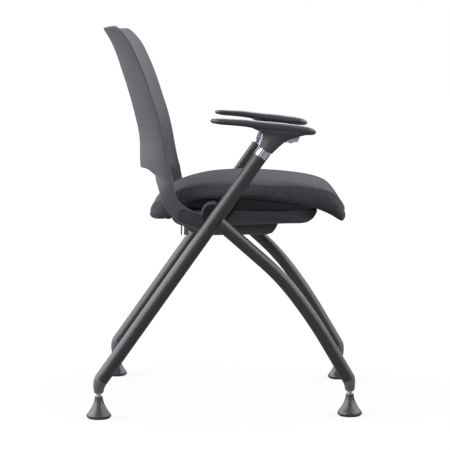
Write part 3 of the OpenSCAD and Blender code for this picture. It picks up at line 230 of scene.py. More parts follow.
def woven_cloth(name, dark, light):
    material, tree, place = new_material(name)
    split = add_node(tree, "ShaderNodeSeparateXYZ", inputs={0: place})
    # On the sides of the cushion the weft climbs, so height is added to both thread counts
    across = add_math(tree, "ADD", split.outputs["X"], split.outputs["Z"])
    along = add_math(tree, "SUBTRACT", split.outputs["Y"], split.outputs["Z"])
    waves = [add_math(tree, "SINE", add_math(tree, "MULTIPLY", count, math.pi / (thread_mm * MM)))
             for count in (across, along)]
    weave = add_math(tree, "MULTIPLY", *waves)
    fleck = add_noise(tree, place, flecks_per_m, 3)
    cloud = add_noise(tree, place, clouds_per_m, 2)
    level = add_range(tree, weave, 0.25, 0.75, start=-1)
    mottled = add_math(tree, "MULTIPLY_ADD", fleck, fleck_share, level)
    mottled = add_math(tree, "MULTIPLY_ADD", cloud, cloud_share, mottled)
    tone = add_mix(tree, add_range(tree, mottled, 0, 1, 1.2, 2.3), dark, light)
    height = add_math(tree, "MULTIPLY_ADD", fleck, 0.6, weave)
    bump = add_node(tree, "ShaderNodeBump", inputs={
        "Height": height, "Strength": 0.5, "Distance": 0.12 * MM})
    shader = add_node(tree, "ShaderNodeBsdfPrincipled", inputs={
        "Base Color": tone, "Roughness": 0.92, "Normal": bump.outputs[0],
        "Specular IOR Level": 0.2, "Sheen Weight": 0.25, "Sheen Roughness": 0.5,
        "Sheen Tint": to_linear("#8a8a90")})
    finish_material(tree, shader)
    return material


seat_cloth = woven_cloth("woven_polyester", "#2d2c30", "#535257")

# %% [markdown]
# ## Finishes on the CAD nodes that stay
# A node whose CAD shape is right keeps it and only gets its finish, in its own material slots.

# %% Dress the kept nodes
finish_of = {
    powder_coat: ["cross_tube"],
    shade_painted_plate: ["left_mounting_plate", "right_mounting_plate", "frame_bolts"],
    rubber: [f"{end}_{side}_sole" for end in ends for side in sides]
            + [f"{side}_{part}_bush" for side in sides for part in ("seat", "back")],
    chrome: [f"{end}_{side}_stem" for end in ends for side in sides],
    zinc: ["left_stop_collar", "right_stop_collar", "arm_screws", "seat_spine",
           "rear_catch", "seat_screws", "back_screws"]
          + [f"{side}_{part}_bracket" for side in sides for part in ("seat", "back")],
}
for material, nodes in finish_of.items():
    for node in nodes:
        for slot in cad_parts[node].material_slots:
            slot.material = material
print("kept nodes:", sum(len(nodes) for nodes in finish_of.values()))

# %% [markdown]
# ## Curves and lofts
# Most forms of the chair follow a rule: a few rows of numbers, a smooth curve through them, and
# rings of points along it. These helpers turn such a rule into a closed mesh. A tube is a ring
# carried along a path, a glide is a profile turned about its axis, and a pad is a row of ovals.

# %% Curves through a few rows
def smooth_at(t, rows):
    """The value at t of a smooth curve through rows of (key, value)."""
    last = len(rows) - 2
    i = max(0, min(last, sum(key <= t for key, _ in rows) - 1))

    def slope(k):
        k = max(0, min(last, k))
        return (rows[k + 1][1] - rows[k][1]) / (rows[k + 1][0] - rows[k][0])

    span = rows[i + 1][0] - rows[i][0]
    s = max(0, min(1, (t - rows[i][0]) / span))
    a, b = rows[i][1], rows[i + 1][1]
    ma, mb = (slope(i - 1) + slope(i)) / 2 * span, (slope(i) + slope(i + 1)) / 2 * span
    return a + s * ma + s * s * (3 * (b - a) - 2 * ma - mb) + s ** 3 * (2 * (a - b) + ma + mb)


def mix(a, b, s):
    return a + (b - a) * s


def ease(s):
    """A soft step from 0 to 1."""
    s = max(0, min(1, s))
    return s * s * (3 - 2 * s)


def ramp(v, start, end):
    """A soft step that is 0 up to start and 1 from end on."""
    return ease((v - start) / (end - start))


def signed_pow(v, p):
    return math.copysign(abs(v) ** p, v)


def round_turn(steps):
    """The angles of evenly spaced points round a full turn."""
    return [2 * math.pi * k / steps for k in range(steps)]


def squared_oval(a, half_w, half_h, power):
    """The point at angle a of an oval; a power below 1 squares it."""
    return half_w * signed_pow(math.cos(a), power), half_h * signed_pow(math.sin(a), power)


def from_axis(x, y, z):
    """A point given in millimetres from the cross tube's axis, in the frame's metres."""
    return Vector((x * MM, axis_y + y * MM, axis_z + z * MM))


def spline(rows, count):
    """Points of a smooth curve through rows of numbers, count of them to a span."""
    rows = [np.array(row, float) for row in rows]
    rows = [2 * rows[0] - rows[1]] + rows + [2 * rows[-1] - rows[-2]]
    points = []
    for a, b, c, d in zip(rows, rows[1:], rows[2:], rows[3:]):
        for u in np.linspace(0, 1, count, endpoint=False):
            points.append((2 * b + (c - a) * u + (2 * a - 5 * b + 4 * c - d) * u ** 2
                           + (3 * b - a - 3 * c + d) * u ** 3) / 2)
    return points + [rows[-2]]


# %% [markdown]
# A closed mesh gets its faces turned outwards when it is made. Each piece then takes one finish,
# and those that stand for a CAD node also ride on its body while the node is hidden.

# %% Meshes and pieces
def dress(piece, material):
    piece.data.materials.clear()
    piece.data.materials.append(material)


def new_piece(name, mesh, material):
    piece = add_object(name, mesh)
    dress(piece, material)
    return piece


def rework(mesh, change):
    """A change that needs the mesh in its editable form."""
    work = bmesh.new()
    work.from_mesh(mesh)
    change(work)
    work.to_mesh(mesh)
    work.free()


def closed_mesh(name, points, faces):
    mesh = bpy.data.meshes.new(name)
    mesh.from_pydata(points, [], faces)
    rework(mesh, lambda work: bmesh.ops.recalc_face_normals(work, faces=work.faces))
    return mesh


def add_mesh(piece, mesh):
    rework(piece.data, lambda work: work.from_mesh(mesh))


def skin_of(mesh):
    """A mesh as a tree that can be asked for its nearest point or for a ray's hit."""
    return BVHTree.FromPolygons([v.co for v in mesh.vertices], [p.vertices for p in mesh.polygons])


def triangles(piece):
    return sum(len(p.vertices) - 2 for p in piece.data.polygons)


def loft(name, rings):
    """A mesh through rings of equally many points in metres, closed at both ends."""
    n = len(rings[0])
    faces = [(i * n + j, i * n + (j + 1) % n, (i + 1) * n + (j + 1) % n, (i + 1) * n + j)
             for i in range(len(rings) - 1) for j in range(n)]
    faces += [tuple(range(n)), tuple(range((len(rings) - 1) * n, len(rings) * n))]
    return closed_mesh(name, [tuple(p) for ring in rings for p in ring], faces)


def swept(name, path, r, steps=40):
    """A round bar along a path that lies in one upright plane, all in metres."""
    across = (path[-1] - path[0]).cross(Vector((0, 0, 1))).normalized()
    rings = []
    for k, point in enumerate(path):
        run = (path[min(k + 1, len(path) - 1)] - path[max(k - 1, 0)]).normalized()
        up = across.cross(run)
        rings.append([point + r * (math.cos(a) * across + math.sin(a) * up)
                      for a in round_turn(steps)])
    return loft(name, rings)


def turned(name, profile, foot, steps=64):
    """A profile of (radius, height) in millimetres, turned about an upright axis at foot."""
    return loft(name, [[(foot[0] + r * MM * math.cos(a), foot[1] + r * MM * math.sin(a), z * MM)
                        for a in round_turn(steps)] for r, z in profile])


def shade_smooth(piece, sharp_deg=40):
    piece.data.polygons.foreach_set("use_smooth", [True] * len(piece.data.polygons))
    piece.data.set_sharp_from_angle(angle=math.radians(sharp_deg))
    return piece


def hold(piece, node, body):
    """The piece stands for a CAD node and rides on its body, and the node is hidden."""
    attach(piece, body)
    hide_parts(node)
    return piece


# %% [markdown]
# ## Legs and glides
# A rear leg is a straight tube. A front leg leans at its foot, then turns on a long easy bend and
# on a tighter one, until it meets the rear leg under the seat.

# %% Leg tubes
leg_mm = {"rear_x": 261, "front_x": 226, "foot_y": 264.5, "knee": 74, "rear_r": 15, "front_r": 14}
rear_lean, rear_from, rear_to = math.radians(35.36), 9, 584
front_lean, front_toe = math.radians(30.6), math.radians(7.04)
# Runs of a front leg: (length, 0) for a straight run, (radius, degrees) for a bend
front_runs = [(96, 0), (1000, 7.6), (480, 10.4), (126, 0)]
rear_steps, front_steps = 8, 24


def rear_point(side, run):
    return Vector((side * leg_mm["rear_x"], leg_mm["foot_y"] - run * math.sin(rear_lean),
                   leg_mm["knee"] + run * math.cos(rear_lean))) * MM


def rear_path(side):
    return [rear_point(side, mix(rear_from, rear_to, k / rear_steps))
            for k in range(rear_steps + 1)]


def front_path(side):
    u, z, lean = 0.0, leg_mm["knee"], front_lean
    places = []
    for size, turn in front_runs:
        for _ in range(front_steps):
            step = math.radians(turn) / front_steps
            length = size * step if turn else size / front_steps
            u += length * math.sin(lean + step / 2)
            z += length * math.cos(lean + step / 2)
            lean += step
            places.append((u, z))
    return [Vector((side * (leg_mm["front_x"] + u * math.sin(front_toe)),
                    -leg_mm["foot_y"] + u * math.cos(front_toe), z)) * MM for u, z in places]


for side, sign in sides.items():
    for end, path in (("rear", rear_path(sign)), ("front", front_path(sign))):
        mesh = swept(f"{end}_tube", path, leg_mm[f"{end}_r"] * MM)
        tube = new_piece(f"{side}_{end}_tube", mesh, powder_coat)
        hold(shade_smooth(tube), f"{side}_{end}_leg", "frame")

# %% [markdown]
# A glide is a bell with a small rolled rim, turned about its stem.

# %% Bell glides
glide_r, glide_neck_r, glide_top, bell_low, bell_power, bell_steps = 26.2, 8.4, 46.8, 7.5, 1.8, 20
glide_foot = [(0.01, 1.5), (22.3, 1.5), (23.6, 1.7), (24.9, 2.4), (25.8, 3.6), (glide_r, 5),
              (glide_r, 6.4)]
glide_bell = [(glide_neck_r + (glide_r - glide_neck_r) * (1 - k / bell_steps) ** bell_power,
               mix(bell_low, glide_top - 1, k / bell_steps)) for k in range(1, bell_steps + 1)]
glide_head = [(glide_neck_r - 0.5, glide_top - 0.2), (glide_neck_r - 1.2, glide_top),
              (0.01, glide_top)]
for end, way in ends.items():
    for side, sign in sides.items():
        foot = (sign * leg_mm[f"{end}_x"] * MM, way * leg_mm["foot_y"] * MM)
        glide = new_piece(f"{end}_{side}_bell",
                          turned("bell", glide_foot + glide_bell + glide_head, foot), glide_nylon)
        hold(shade_smooth(glide), f"{end}_{side}_glide", f"{end}_{side}_foot")

# %% [markdown]
# ## Moulded forms
# Caps and covers leave the mould with soft edges, but their CAD solids have flat facets and sharp
# edges. A copy of the solid is cut into small even cells and relaxed, which rounds its edges by a
# few millimetres as a mould does. The CAD node stays as the collision solid, hidden.

# %% A softened copy of a CAD solid
weld_mm = 0.01


def apply_modifiers(piece):
    """The evaluated mesh takes the place of the piece's own, and its modifiers go."""
    bpy.context.view_layer.update()
    solid = piece.evaluated_get(bpy.context.evaluated_depsgraph_get())
    mesh = bpy.data.meshes.new_from_object(solid)
    piece.modifiers.clear()
    piece.data = mesh
    return piece


def relax(piece, rounds):
    smooth = piece.modifiers.new("relax", "SMOOTH")
    smooth.factor, smooth.iterations = 0.5, rounds


def even_copy(node, name, material, cell_mm, rounds):
    """A copy of a CAD solid: its triangles are joined, cut into even cells and relaxed."""
    piece = new_piece(name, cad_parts[node].data.copy(), material)
    rework(piece.data, lambda work: bmesh.ops.remove_doubles(
        work, verts=work.verts, dist=weld_mm * MM))
    cells = piece.modifiers.new("cells", "REMESH")
    cells.mode, cells.voxel_size, cells.use_smooth_shade = "VOXEL", cell_mm * MM, True
    relax(piece, rounds)
    return apply_modifiers(piece)


def softened(node, name, material, cell_mm, rounds, body):
    piece = even_copy(node, name, material, cell_mm, rounds)
    dress(piece, material)
    return hold(piece, node, body)


for side in sides:
    for end in ends:
        softened(f"{end}_{side}_cap", f"{end}_{side}_leg_cap", cap_nylon, 1.2, 6,
                 "frame")
pan = softened("seat_pan", "seat_pan_moulding", pan_pp, 2.5, 6, "seat")
tub = softened("under_cover", "under_cover_moulding", cover_pp, 1.8, 8, "seat")
softened("mechanism_cover", "mechanism_cover_moulding", cover_pp, 1.6, 8, "seat")

# %% [markdown]
# The front of the under cover's rim climbs a little, until it meets the cushion. The cushion's
# heel is lifted later by the same function. Both ramps are in millimetres from the cross tube.

# %% Lift part of a piece
rim_lift_mm, rim_ramp_y, rim_ramp_z = 8, (-150, -200), (-16, -2)


def lift(piece, lift_mm, ramp_y, ramp_z):
    """Points past the ends of both ramps rise by lift_mm, and points on the ramps by less."""
    for vert in piece.data.vertices:
        y, z = (vert.co.y - axis_y) / MM, (vert.co.z - axis_z) / MM
        vert.co.z += lift_mm * MM * ramp(y, *ramp_y) * ramp(z, *ramp_z)


lift(tub, rim_lift_mm, rim_ramp_y, rim_ramp_z)

# %% [markdown]
# Between the under cover's rim and the cushion's underside runs a dark skirt of the seat pan. It
# is a squared oval that starts inside the rim and climbs until a ray meets the cushion.

# %% The pan's skirt
skirt_w, skirt_front, skirt_rear, skirt_open_r = 346, -224, 84, 24
skirt_low, skirt_power = -6, 0.25
# Its climb where no cushion is above it, and how far it sinks into the cushion
open_climb, skirt_sink = 20, 1
# For each ring of the skirt: its size, and its share of the climb to the cushion
skirt_steps = [(0.985, 0), (0.992, 0.1), (1.004, 0.6), (1.02, 1)]


def skirt_rings(points=120):
    skin = skin_of(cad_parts["seat_cushion"].data)
    mid, half = (skirt_front + skirt_rear) / 2, (skirt_rear - skirt_front) / 2
    rings = [[] for _ in skirt_steps]
    for a in round_turn(points):
        x, y = squared_oval(a, skirt_w / 2, half, skirt_power)
        for ring, (size, share) in zip(rings, skirt_steps):
            place = from_axis(x * size, mid + y * size, skirt_low)
            top = skin.ray_cast(place, Vector((0, 0, 1)))[0]
            height = (top.z - place.z if top else open_climb * MM) + skirt_sink * MM
            ring.append(place + Vector((0, 0, height * share)))
    return rings


skirt = new_piece("skirt", loft("skirt", skirt_rings()), pan_pp)

# %% [markdown]
# ## Arm rests
# An arm rest is three pieces: a chrome casting pushed into the leg, a moulded neck on its outer
# side, and a soft pad. The pad is a row of ovals with a squared upper half, so that its top stays
# flat and a narrow rim catches the light. All sizes here are millimetres from the centre of the
# leg's upper end.

# %% Arm pads
pad_l, pad_w, pad_rise, pad_out, pad_toe, pad_rear = 220, 52, 80.5, 15, math.radians(7), 0.47
# Place over pad_l from the rear end, and heights of top and underside over pad_rise
pad_rows = [
    (0, 0.942, 0.936), (0.01, 0.983, 0.889), (0.04, 0.996, 0.865), (0.086, 1.001, 0.84),
    (0.195, 0.989, 0.815), (0.327, 0.97, 0.778), (0.44, 0.933, 0.722), (0.55, 0.902, 0.672),
    (0.66, 0.877, 0.622), (0.77, 0.838, 0.576), (0.87, 0.8, 0.56), (0.93, 0.768, 0.557),
    (0.965, 0.735, 0.56), (0.985, 0.7, 0.572), (1, 0.645, 0.615)]
# The same place, and half width over pad_w
pad_wide_rows = [(0, 0.36), (0.2, 0.45), (0.44, 0.5), (0.7, 0.5), (0.87, 0.46), (1, 0.42)]
pad_end_r, pad_rings, pad_span = 21, 72, 0.999
pad_top_power, pad_low_power = 0.55, 0.8


def from_arm(side, x, y, z):
    """A point beside the upper end of a leg; x is counted outwards from the leg's centre."""
    return Vector((side * (leg_mm["rear_x"] + x) * MM, 0, 0)) + Vector(
        (0, rear_point(side, rear_to).y + y * MM, rear_point(side, rear_to).z + z * MM))


def pad_ring(side, s, points=56):
    top, low = (pad_rise * smooth_at(s, [(row[0], row[k]) for row in pad_rows]) for k in (1, 2))
    room = min(s, 1 - s) * pad_l
    end = math.sqrt(max(0, 1 - (1 - min(1, room / pad_end_r)) ** 2))
    half_w, half_h, ring = pad_w * smooth_at(s, pad_wide_rows) * end, (top - low) / 2, []
    for a in round_turn(points):
        x, z = squared_oval(a, half_w, half_h, pad_top_power if math.sin(a) > 0 else pad_low_power)
        y = pad_l * (pad_rear - s)
        ring.append(from_arm(side, pad_out + x * math.cos(pad_toe) + y * math.sin(pad_toe),
                             y * math.cos(pad_toe) - x * math.sin(pad_toe), (top + low) / 2 + z))
    return ring


# The rings stand closest at the pad's round ends, and stop just short of them
stations = [0.5 - pad_span / 2 * math.cos(math.pi * k / pad_rings) for k in range(pad_rings + 1)]
for side, sign in sides.items():
    pad = new_piece(f"{side}_pad", loft("pad", [pad_ring(sign, s) for s in stations]), arm_pu)
    hold(shade_smooth(pad, sharp_deg=60), f"{side}_arm_pad", "frame")

# %% [markdown]
# The neck is moulded round the casting's web. Each row of its table is one oval, seen from the
# side as a slanting line from its front end to its rear end.

# %% Moulded necks
web_in, web_out, neck_gap = -11, -2, 0.3
# Ovals up the neck: front end (y, z), rear end (y, z), half width, and place outwards
neck_rows = [
    (-24, 5, 2.7, 23, 15.4, 0), (-33, 14, -1.5, 28, 15.2, 1), (-42, 22.5, -5, 34, 15.6, 2.6),
    (-55, 32.5, -6, 43, 16.4, 5.2), (-68, 38, -3, 49.5, 18, 8), (-82, 42, 4, 54, 20.6, 10.5),
    (-96, 45.6, 14, 58.5, 22.6, 12.5), (-102, 49, 20, 62, 23, 13.5)]


def neck_ring(side, row, points=56):
    front, rear, half_w, out = np.array(row[:2]), np.array(row[2:4]), row[4], row[5]
    ring = []
    for a in round_turn(points):
        y, z = (front + rear) / 2 + (rear - front) / 2 * math.sin(a)
        ring.append(from_arm(side, max(web_out + neck_gap, out + half_w * math.cos(a)), y, z))
    return ring


for side, sign in sides.items():
    mesh = loft("neck", [neck_ring(sign, row) for row in spline(neck_rows, count=5)])
    neck = new_piece(f"{side}_neck", mesh, cover_pp)
    hold(shade_smooth(neck, sharp_deg=60), f"{side}_arm_neck", "frame")

# %% [markdown]
# The casting is a flat web with rounded corners and bevelled edges, and a collar round the end of
# the leg's plug. The corners are rounded by cutting them twice.

# %% Chrome castings
# The web's corners: place over pad_l, height over pad_rise
web_rows = [
    (0.036, 0.15), (0.014, 0.281), (-0.022, 0.579), (-0.015, 0.69), (-0.19, 0.618),
    (-0.365, 0.56), (-0.374, 0.545), (-0.374, 0.5), (-0.356, 0.378), (-0.345, 0.37),
    (-0.216, 0.366), (-0.157, 0.235), (-0.09, 0.06)]
corner_cut, corner_cuts = 0.2, 2
collar_low, collar_top, collar_r = 0.1, 16.6, 15.4


def web_outline():
    outline = np.array([(y * pad_l, z * pad_rise) for y, z in web_rows])
    for _ in range(corner_cuts):
        after, rest = np.roll(outline, -1, 0), 1 - corner_cut
        cut = [rest * outline + corner_cut * after, corner_cut * outline + rest * after]
        outline = np.stack(cut, 1).reshape(-1, 2)
    return outline


for side, sign in sides.items():
    rings = [[from_arm(sign, x, y, z) for y, z in web_outline()] for x in (web_in, web_out)]
    casting = new_piece(f"{side}_casting", loft("web", rings), chrome)
    edge = casting.modifiers.new("edge", "BEVEL")
    edge.limit_method, edge.width, edge.segments = "ANGLE", 1.6 * MM, 3
    apply_modifiers(casting)
    collar = [rear_point(sign, rear_to + run) for run in (collar_low, collar_top)]
    add_mesh(casting, swept("collar", collar, collar_r * MM, steps=64))
    dress(casting, chrome)
    hold(shade_smooth(casting, sharp_deg=35), f"{side}_arm_casting", "frame")

# %% [markdown]
# ## The back
# The back is one injection moulded shell of filled nylon. It wraps the sitter at the sides, rolls
# backwards at its upper edge, and runs down into two arms that hold the cross tube, with an open
# arch between them. Its shape follows a rule: at each height its plan is part of a circle, between
# a middle line and an edge line. So a coarse cage is worked out from that rule, its rim is
# bevelled, and subdivision makes it smooth.

# %% The rule of the back, in millimetres from the cross tube's axis
back_h, back_reach, back_top_w, back_low_w, corner_r, top_bow = 389, 241.5, 470, 450, 30, 4
wrap_low, wrap_top, wrap_from, wrap_run = 88, 58, 0.15, 0.8
wide_from, wide_run = 0.2, 0.7
shell_t, arm_t = 5, 8
back_arm_x = back_low_w / 2
# Height over back_h against place over back_reach, down the middle and down the side edges
back_mid_rows = [
    (0.1, 0.672), (0.21, 0.672), (0.26, 0.68), (0.358, 0.677), (0.427, 0.686), (0.494, 0.714),
    (0.563, 0.739), (0.63, 0.77), (0.7, 0.801), (0.766, 0.839), (0.835, 0.872), (0.902, 0.913),
    (0.936, 0.938), (0.959, 0.959), (0.982, 0.985), (1, 1.005)]
back_edge_rows = [
    (0.1, 0.318), (0.152, 0.33), (0.219, 0.366), (0.319, 0.4), (0.414, 0.429), (0.532, 0.478),
    (0.635, 0.536), (0.738, 0.59), (0.83, 0.652), (0.918, 0.718), (0.967, 0.76), (1, 0.8)]
# Stations down an arm: place over back_reach and height over back_h of the front edge, then of
# the rear edge, and the rear edge's half width over back_arm_x
arm_rows = [
    (0.352, 0.19, 0.502, 0.178, 0.9), (0.34, 0.155, 0.482, 0.148, 0.945),
    (0.326, 0.118, 0.463, 0.11, 0.975), (0.311, 0.085, 0.444, 0.07, 0.995),
    (0.286, 0.06, 0.418, 0.03, 1), (0.246, 0.04, 0.38, -0.004, 1), (0.2, 0.024, 0.33, -0.034, 1),
    (0.15, 0.01, 0.27, -0.06, 1), (0.1, -0.004, 0.2, -0.084, 1), (0.055, -0.018, 0.135, -0.1, 1),
    (0.02, -0.036, 0.075, -0.104, 1), (0.006, -0.056, 0.02, -0.088, 1)]
# The arch between the arms: place over the back's half width, height over back_h
arch_rows = [(0, 0.2226), (0.2, 0.225), (0.4, 0.23), (0.54, 0.228), (0.62, 0.214), (0.7, 0.2)]
# Half the cage's columns, the first column of an arm, and the rows of the panel and of all
half_cols, arch_col, panel_rows = 13, 9, 14
all_rows = panel_rows + len(arm_rows)
thicken_rows = 4


def wrap_at(h):
    """Half the angle of the plan's circle, which opens towards the top."""
    return math.radians(mix(wrap_low, wrap_top, ease((h / back_h - wrap_from) / wrap_run)))


def back_x(h, t):
    half = mix(back_low_w, back_top_w, ease((h / back_h - wide_from) / wide_run)) / 2
    return half * math.sin(t * wrap_at(h)) / math.sin(wrap_at(h))


def back_y(h, t):
    wrap = wrap_at(h)
    mid, edge = (back_reach * smooth_at(h / back_h, r) for r in (back_mid_rows, back_edge_rows))
    return mid - (mid - edge) * (1 - math.cos(t * wrap)) / (1 - math.cos(wrap))


def back_point(i, j):
    """Row i, column j of the outer face. Rows past the panel's run down the arms."""
    t = j / half_cols
    if i < panel_rows:
        over = max(0, abs(back_x(back_h, t)) - (back_top_w / 2 - corner_r))
        top = back_h + top_bow * t ** 2 - corner_r + math.sqrt(max(0, corner_r ** 2 - over ** 2))
        arch = back_h * smooth_at(abs(t), arch_rows)
        h = mix(top, arch, i / (panel_rows - 1))
        return Vector((back_x(h, t), back_y(h, t), h))
    fy, fz, ry, rz, rear_x = arm_rows[i - panel_rows]
    s = (half_cols - abs(j)) / (half_cols - arch_col)
    x = back_arm_x * (1 - (1 - rear_x) * s ** 1.5)
    return Vector((math.copysign(x, j), back_reach * mix(fy, ry, s), back_h * mix(fz, rz, s)))


# %% [markdown]
# The cage's outer face is a grid of rows and columns with a gap where the arch is. The inner face
# is the same grid, moved along its normals, and a row of faces closes the rim.

# %% The back's cage
def in_grid(i, j):
    on_arm = i < all_rows and abs(j) >= arch_col
    return abs(j) <= half_cols and 0 <= i and (i < panel_rows or on_arm)


def back_normal(i, j):
    """The cross product of two steps, each between the neighbours that the grid has."""
    up, down = (i + d if in_grid(i + d, j) else i for d in (-1, 1))
    left, right = (j + d if in_grid(i, j + d) else j for d in (-1, 1))
    return (back_point(i, right) - back_point(i, left)).cross(
        back_point(down, j) - back_point(up, j)).normalized()


def back_cage():
    places = [(i, j) for i in range(all_rows) for j in range(-half_cols, half_cols + 1)
              if in_grid(i, j)]
    index = {place: n for n, place in enumerate(places)}
    outer = [back_point(*place) for place in places]
    inner = [p - mix(shell_t, arm_t, ease((i - panel_rows + thicken_rows) / thicken_rows))
             * back_normal(i, j) for p, (i, j) in zip(outer, places)]
    faces = []
    for (i, j) in places:
        corners = [(i, j), (i + 1, j), (i + 1, j + 1), (i, j + 1)]
        spans_arch = i >= panel_rows - 1 and j < arch_col and j + 1 > -arch_col
        if all(c in index for c in corners) and not spans_arch:
            faces.append([index[c] for c in corners])
    count = len(places)
    mesh = bmesh.new()
    verts = [mesh.verts.new(from_axis(*p)) for p in outer + inner]
    for face in faces:
        mesh.faces.new([verts[n] for n in face])
    mesh.verts.index_update()
    rim = [(e.verts[0].index, e.verts[1].index) for e in mesh.edges if len(e.link_faces) == 1]
    for face in faces:
        mesh.faces.new([verts[n + count] for n in reversed(face)])
    for a, b in rim:
        mesh.faces.new([verts[a], verts[b], verts[b + count], verts[a + count]])
    bmesh.ops.recalc_face_normals(mesh, faces=mesh.faces)
    data = bpy.data.meshes.new("back_cage")
    mesh.to_mesh(data)
    mesh.free()
    return data


back = new_piece("moulded_back", back_cage(), back_nylon)
rim_bevel = back.modifiers.new("rim", "BEVEL")
rim_bevel.limit_method, rim_bevel.angle_limit = "ANGLE", math.radians(50)
rim_bevel.width, rim_bevel.segments = 1.7 * MM, 2
smooth = back.modifiers.new("smooth", "SUBSURF")
smooth.levels = smooth.render_levels = 2
apply_modifiers(back)

# %% [markdown]
# The arms are bored for the cross tube and have a shallow oval recess, which a loose cover fills.
# A narrow dark groove shows round that cover. Both are cut with Booleans, after the smoothing.

# %% Bores and oval recesses
oval_l, oval_w, oval_t, groove_mm = 60, 24, 2.5, 1.1
oval_mid, oval_lean = (43, -11), math.radians(18)
tube_room_mm, bore_past_mm, cut_past_mm = 18, 6, 4


def prism(name, outline, x0, x1):
    """A closed prism along X over a side view outline, in millimetres from the cross tube."""
    n = len(outline)
    points = [from_axis(x, *p) for x in (x0, x1) for p in outline]
    walls = [(k, (k + 1) % n, (k + 1) % n + n, k + n) for k in range(n)]
    return closed_mesh(name, points, walls + [tuple(range(n - 1, -1, -1)), tuple(range(n, 2 * n))])


def oval_outline(grow, steps=24):
    run, r = (oval_l - oval_w) / 2, oval_w / 2 + grow
    points = []
    for k in range(2 * steps):
        a = math.pi * (k / (steps - 0.5)) - math.pi / 2
        u, v = (run if k < steps else -run) + r * math.cos(a), r * math.sin(a)
        points.append((oval_mid[0] + u * math.cos(oval_lean) - v * math.sin(oval_lean),
                       oval_mid[1] + u * math.sin(oval_lean) + v * math.cos(oval_lean)))
    return points


def round_outline(r, steps=48):
    return [(r * math.cos(a), r * math.sin(a)) for a in round_turn(steps)]


def cut_away(piece, mesh):
    cutter = add_object("cutter", mesh)
    cut = piece.modifiers.new("cut", "BOOLEAN")
    cut.object, cut.solver = cutter, "EXACT"
    apply_modifiers(piece)
    bpy.data.objects.remove(cutter)


for sign in sides.values():
    for outline, depth in ((oval_outline(groove_mm), oval_t),
                           (round_outline(tube_room_mm), arm_t + bore_past_mm)):
        x0, x1 = sorted((sign * (back_arm_x - depth), sign * (back_arm_x + cut_past_mm)))
        cut_away(back, prism("cutter", outline, x0, x1))
shade_smooth(back)
dress(back, back_nylon)
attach(back, "back")
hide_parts("back_shell")
for side in sides:
    softened(f"{side}_oval_cover", f"{side}_oval_cap", oval_pp, 0.7, 4, "back")
print("back triangles:", triangles(back))

# %% [markdown]
# The pan's skirt leaves room for the cross tube too, and then joins the pan.

# %% The skirt's opening
cut_away(skirt, prism("cutter", round_outline(skirt_open_r), -skirt_w, skirt_w))
add_mesh(pan, skirt.data)
bpy.data.objects.remove(skirt)
shade_smooth(pan)

# %% [markdown]
# ## The seat cushion
# The cushion is moulded foam in a sewn cover: it is full and crowned, with a seam where the top
# panel meets the sides. Cloth simulation makes it look stuffed. The CAD solid is cut into even
# cells, pressure swells it for a few frames, and each point may move only a few millimetres: half
# as far on the crown, which is stretched tight, and not at all where the cushion sits on its pan.

# %% Stuff the cushion
cell_mm, swell_mm, pressure, swell_frames, even_rounds, settle_rounds = 6, 7, 4, 20, 6, 8
# The cover starts a little inside the solid, because pressure pushes it out again
inset_share, crown_hold = 0.4, 0.5
# How far a normal points up where the cover comes free of the pan, and where the crown begins
free_from, free_run, crown_from, crown_run = -0.55, 0.5, 0.75, 0.25


def vectors(vertices, kind):
    """One vector for each vertex, as rows of an array."""
    flat = np.empty(len(vertices) * 3)
    vertices.foreach_get(kind, flat)
    return flat.reshape(-1, 3)


def stuffed(node, name, material):
    piece = even_copy(node, name, material, cell_mm, even_rounds)
    mesh = piece.data
    rest, normal = vectors(mesh.vertices, "co"), vectors(mesh.vertices, "normal")
    free = np.clip((normal[:, 2] - free_from) / free_run, 0, 1)
    start = rest - normal * (inset_share * swell_mm * MM * free)[:, None]
    mesh.vertices.foreach_set("co", start.ravel())
    cloth = piece.modifiers.new("cover", "CLOTH")
    cloth.settings.use_pressure = True
    cloth.settings.uniform_pressure_force = pressure
    cloth.settings.effector_weights.gravity = 0
    cloth.settings.quality = 5
    for frame_number in range(1, swell_frames + 1):
        bpy.context.scene.frame_set(frame_number)
    swollen = piece.evaluated_get(bpy.context.evaluated_depsgraph_get()).data
    step = vectors(swollen.vertices, "co") - start
    piece.modifiers.clear()
    bpy.context.scene.frame_set(1)
    size = np.linalg.norm(step, axis=1)
    crown = np.clip((normal[:, 2] - crown_from) / crown_run, 0, 1)
    room = swell_mm * MM * free * (1 - crown_hold * crown)
    step *= (np.minimum(size, room) / np.maximum(size, 1e-9))[:, None]
    mesh.vertices.foreach_set("co", (start + step).ravel())
    print("cushion moved, m: most", np.linalg.norm(step, axis=1).max())
    relax(piece, settle_rounds)
    finer = piece.modifiers.new("finer", "SUBSURF")
    finer.levels = finer.render_levels = 1
    return apply_modifiers(piece)


cushion = stuffed("seat_cushion", "stuffed_cushion", seat_cloth)

# %% [markdown]
# Behind the cross tube the underside is a little shallower than the CAD solid's.

# %% Lift the heel
heel_lift_mm, heel_ramp_y, heel_ramp_z = 9, (84, 108), (2, -24)
lift(cushion, heel_lift_mm, heel_ramp_y, heel_ramp_z)

# %% [markdown]
# The seam runs round the cushion between its top panel and its sides. Its plan is a squared oval,
# its height follows a table, and each of its points is laid on the cushion's skin.

# %% The seam's path, in millimetres from the cross tube's axis
cushion_l, cushion_w, cushion_rear_w, crown_h, overhang = 439, 452, 398, 77, 146.5
seam_power, seam_half_l, widen_at = 0.33, 0.49, -15
seam_step_mm, seam_rounds = 4, 6
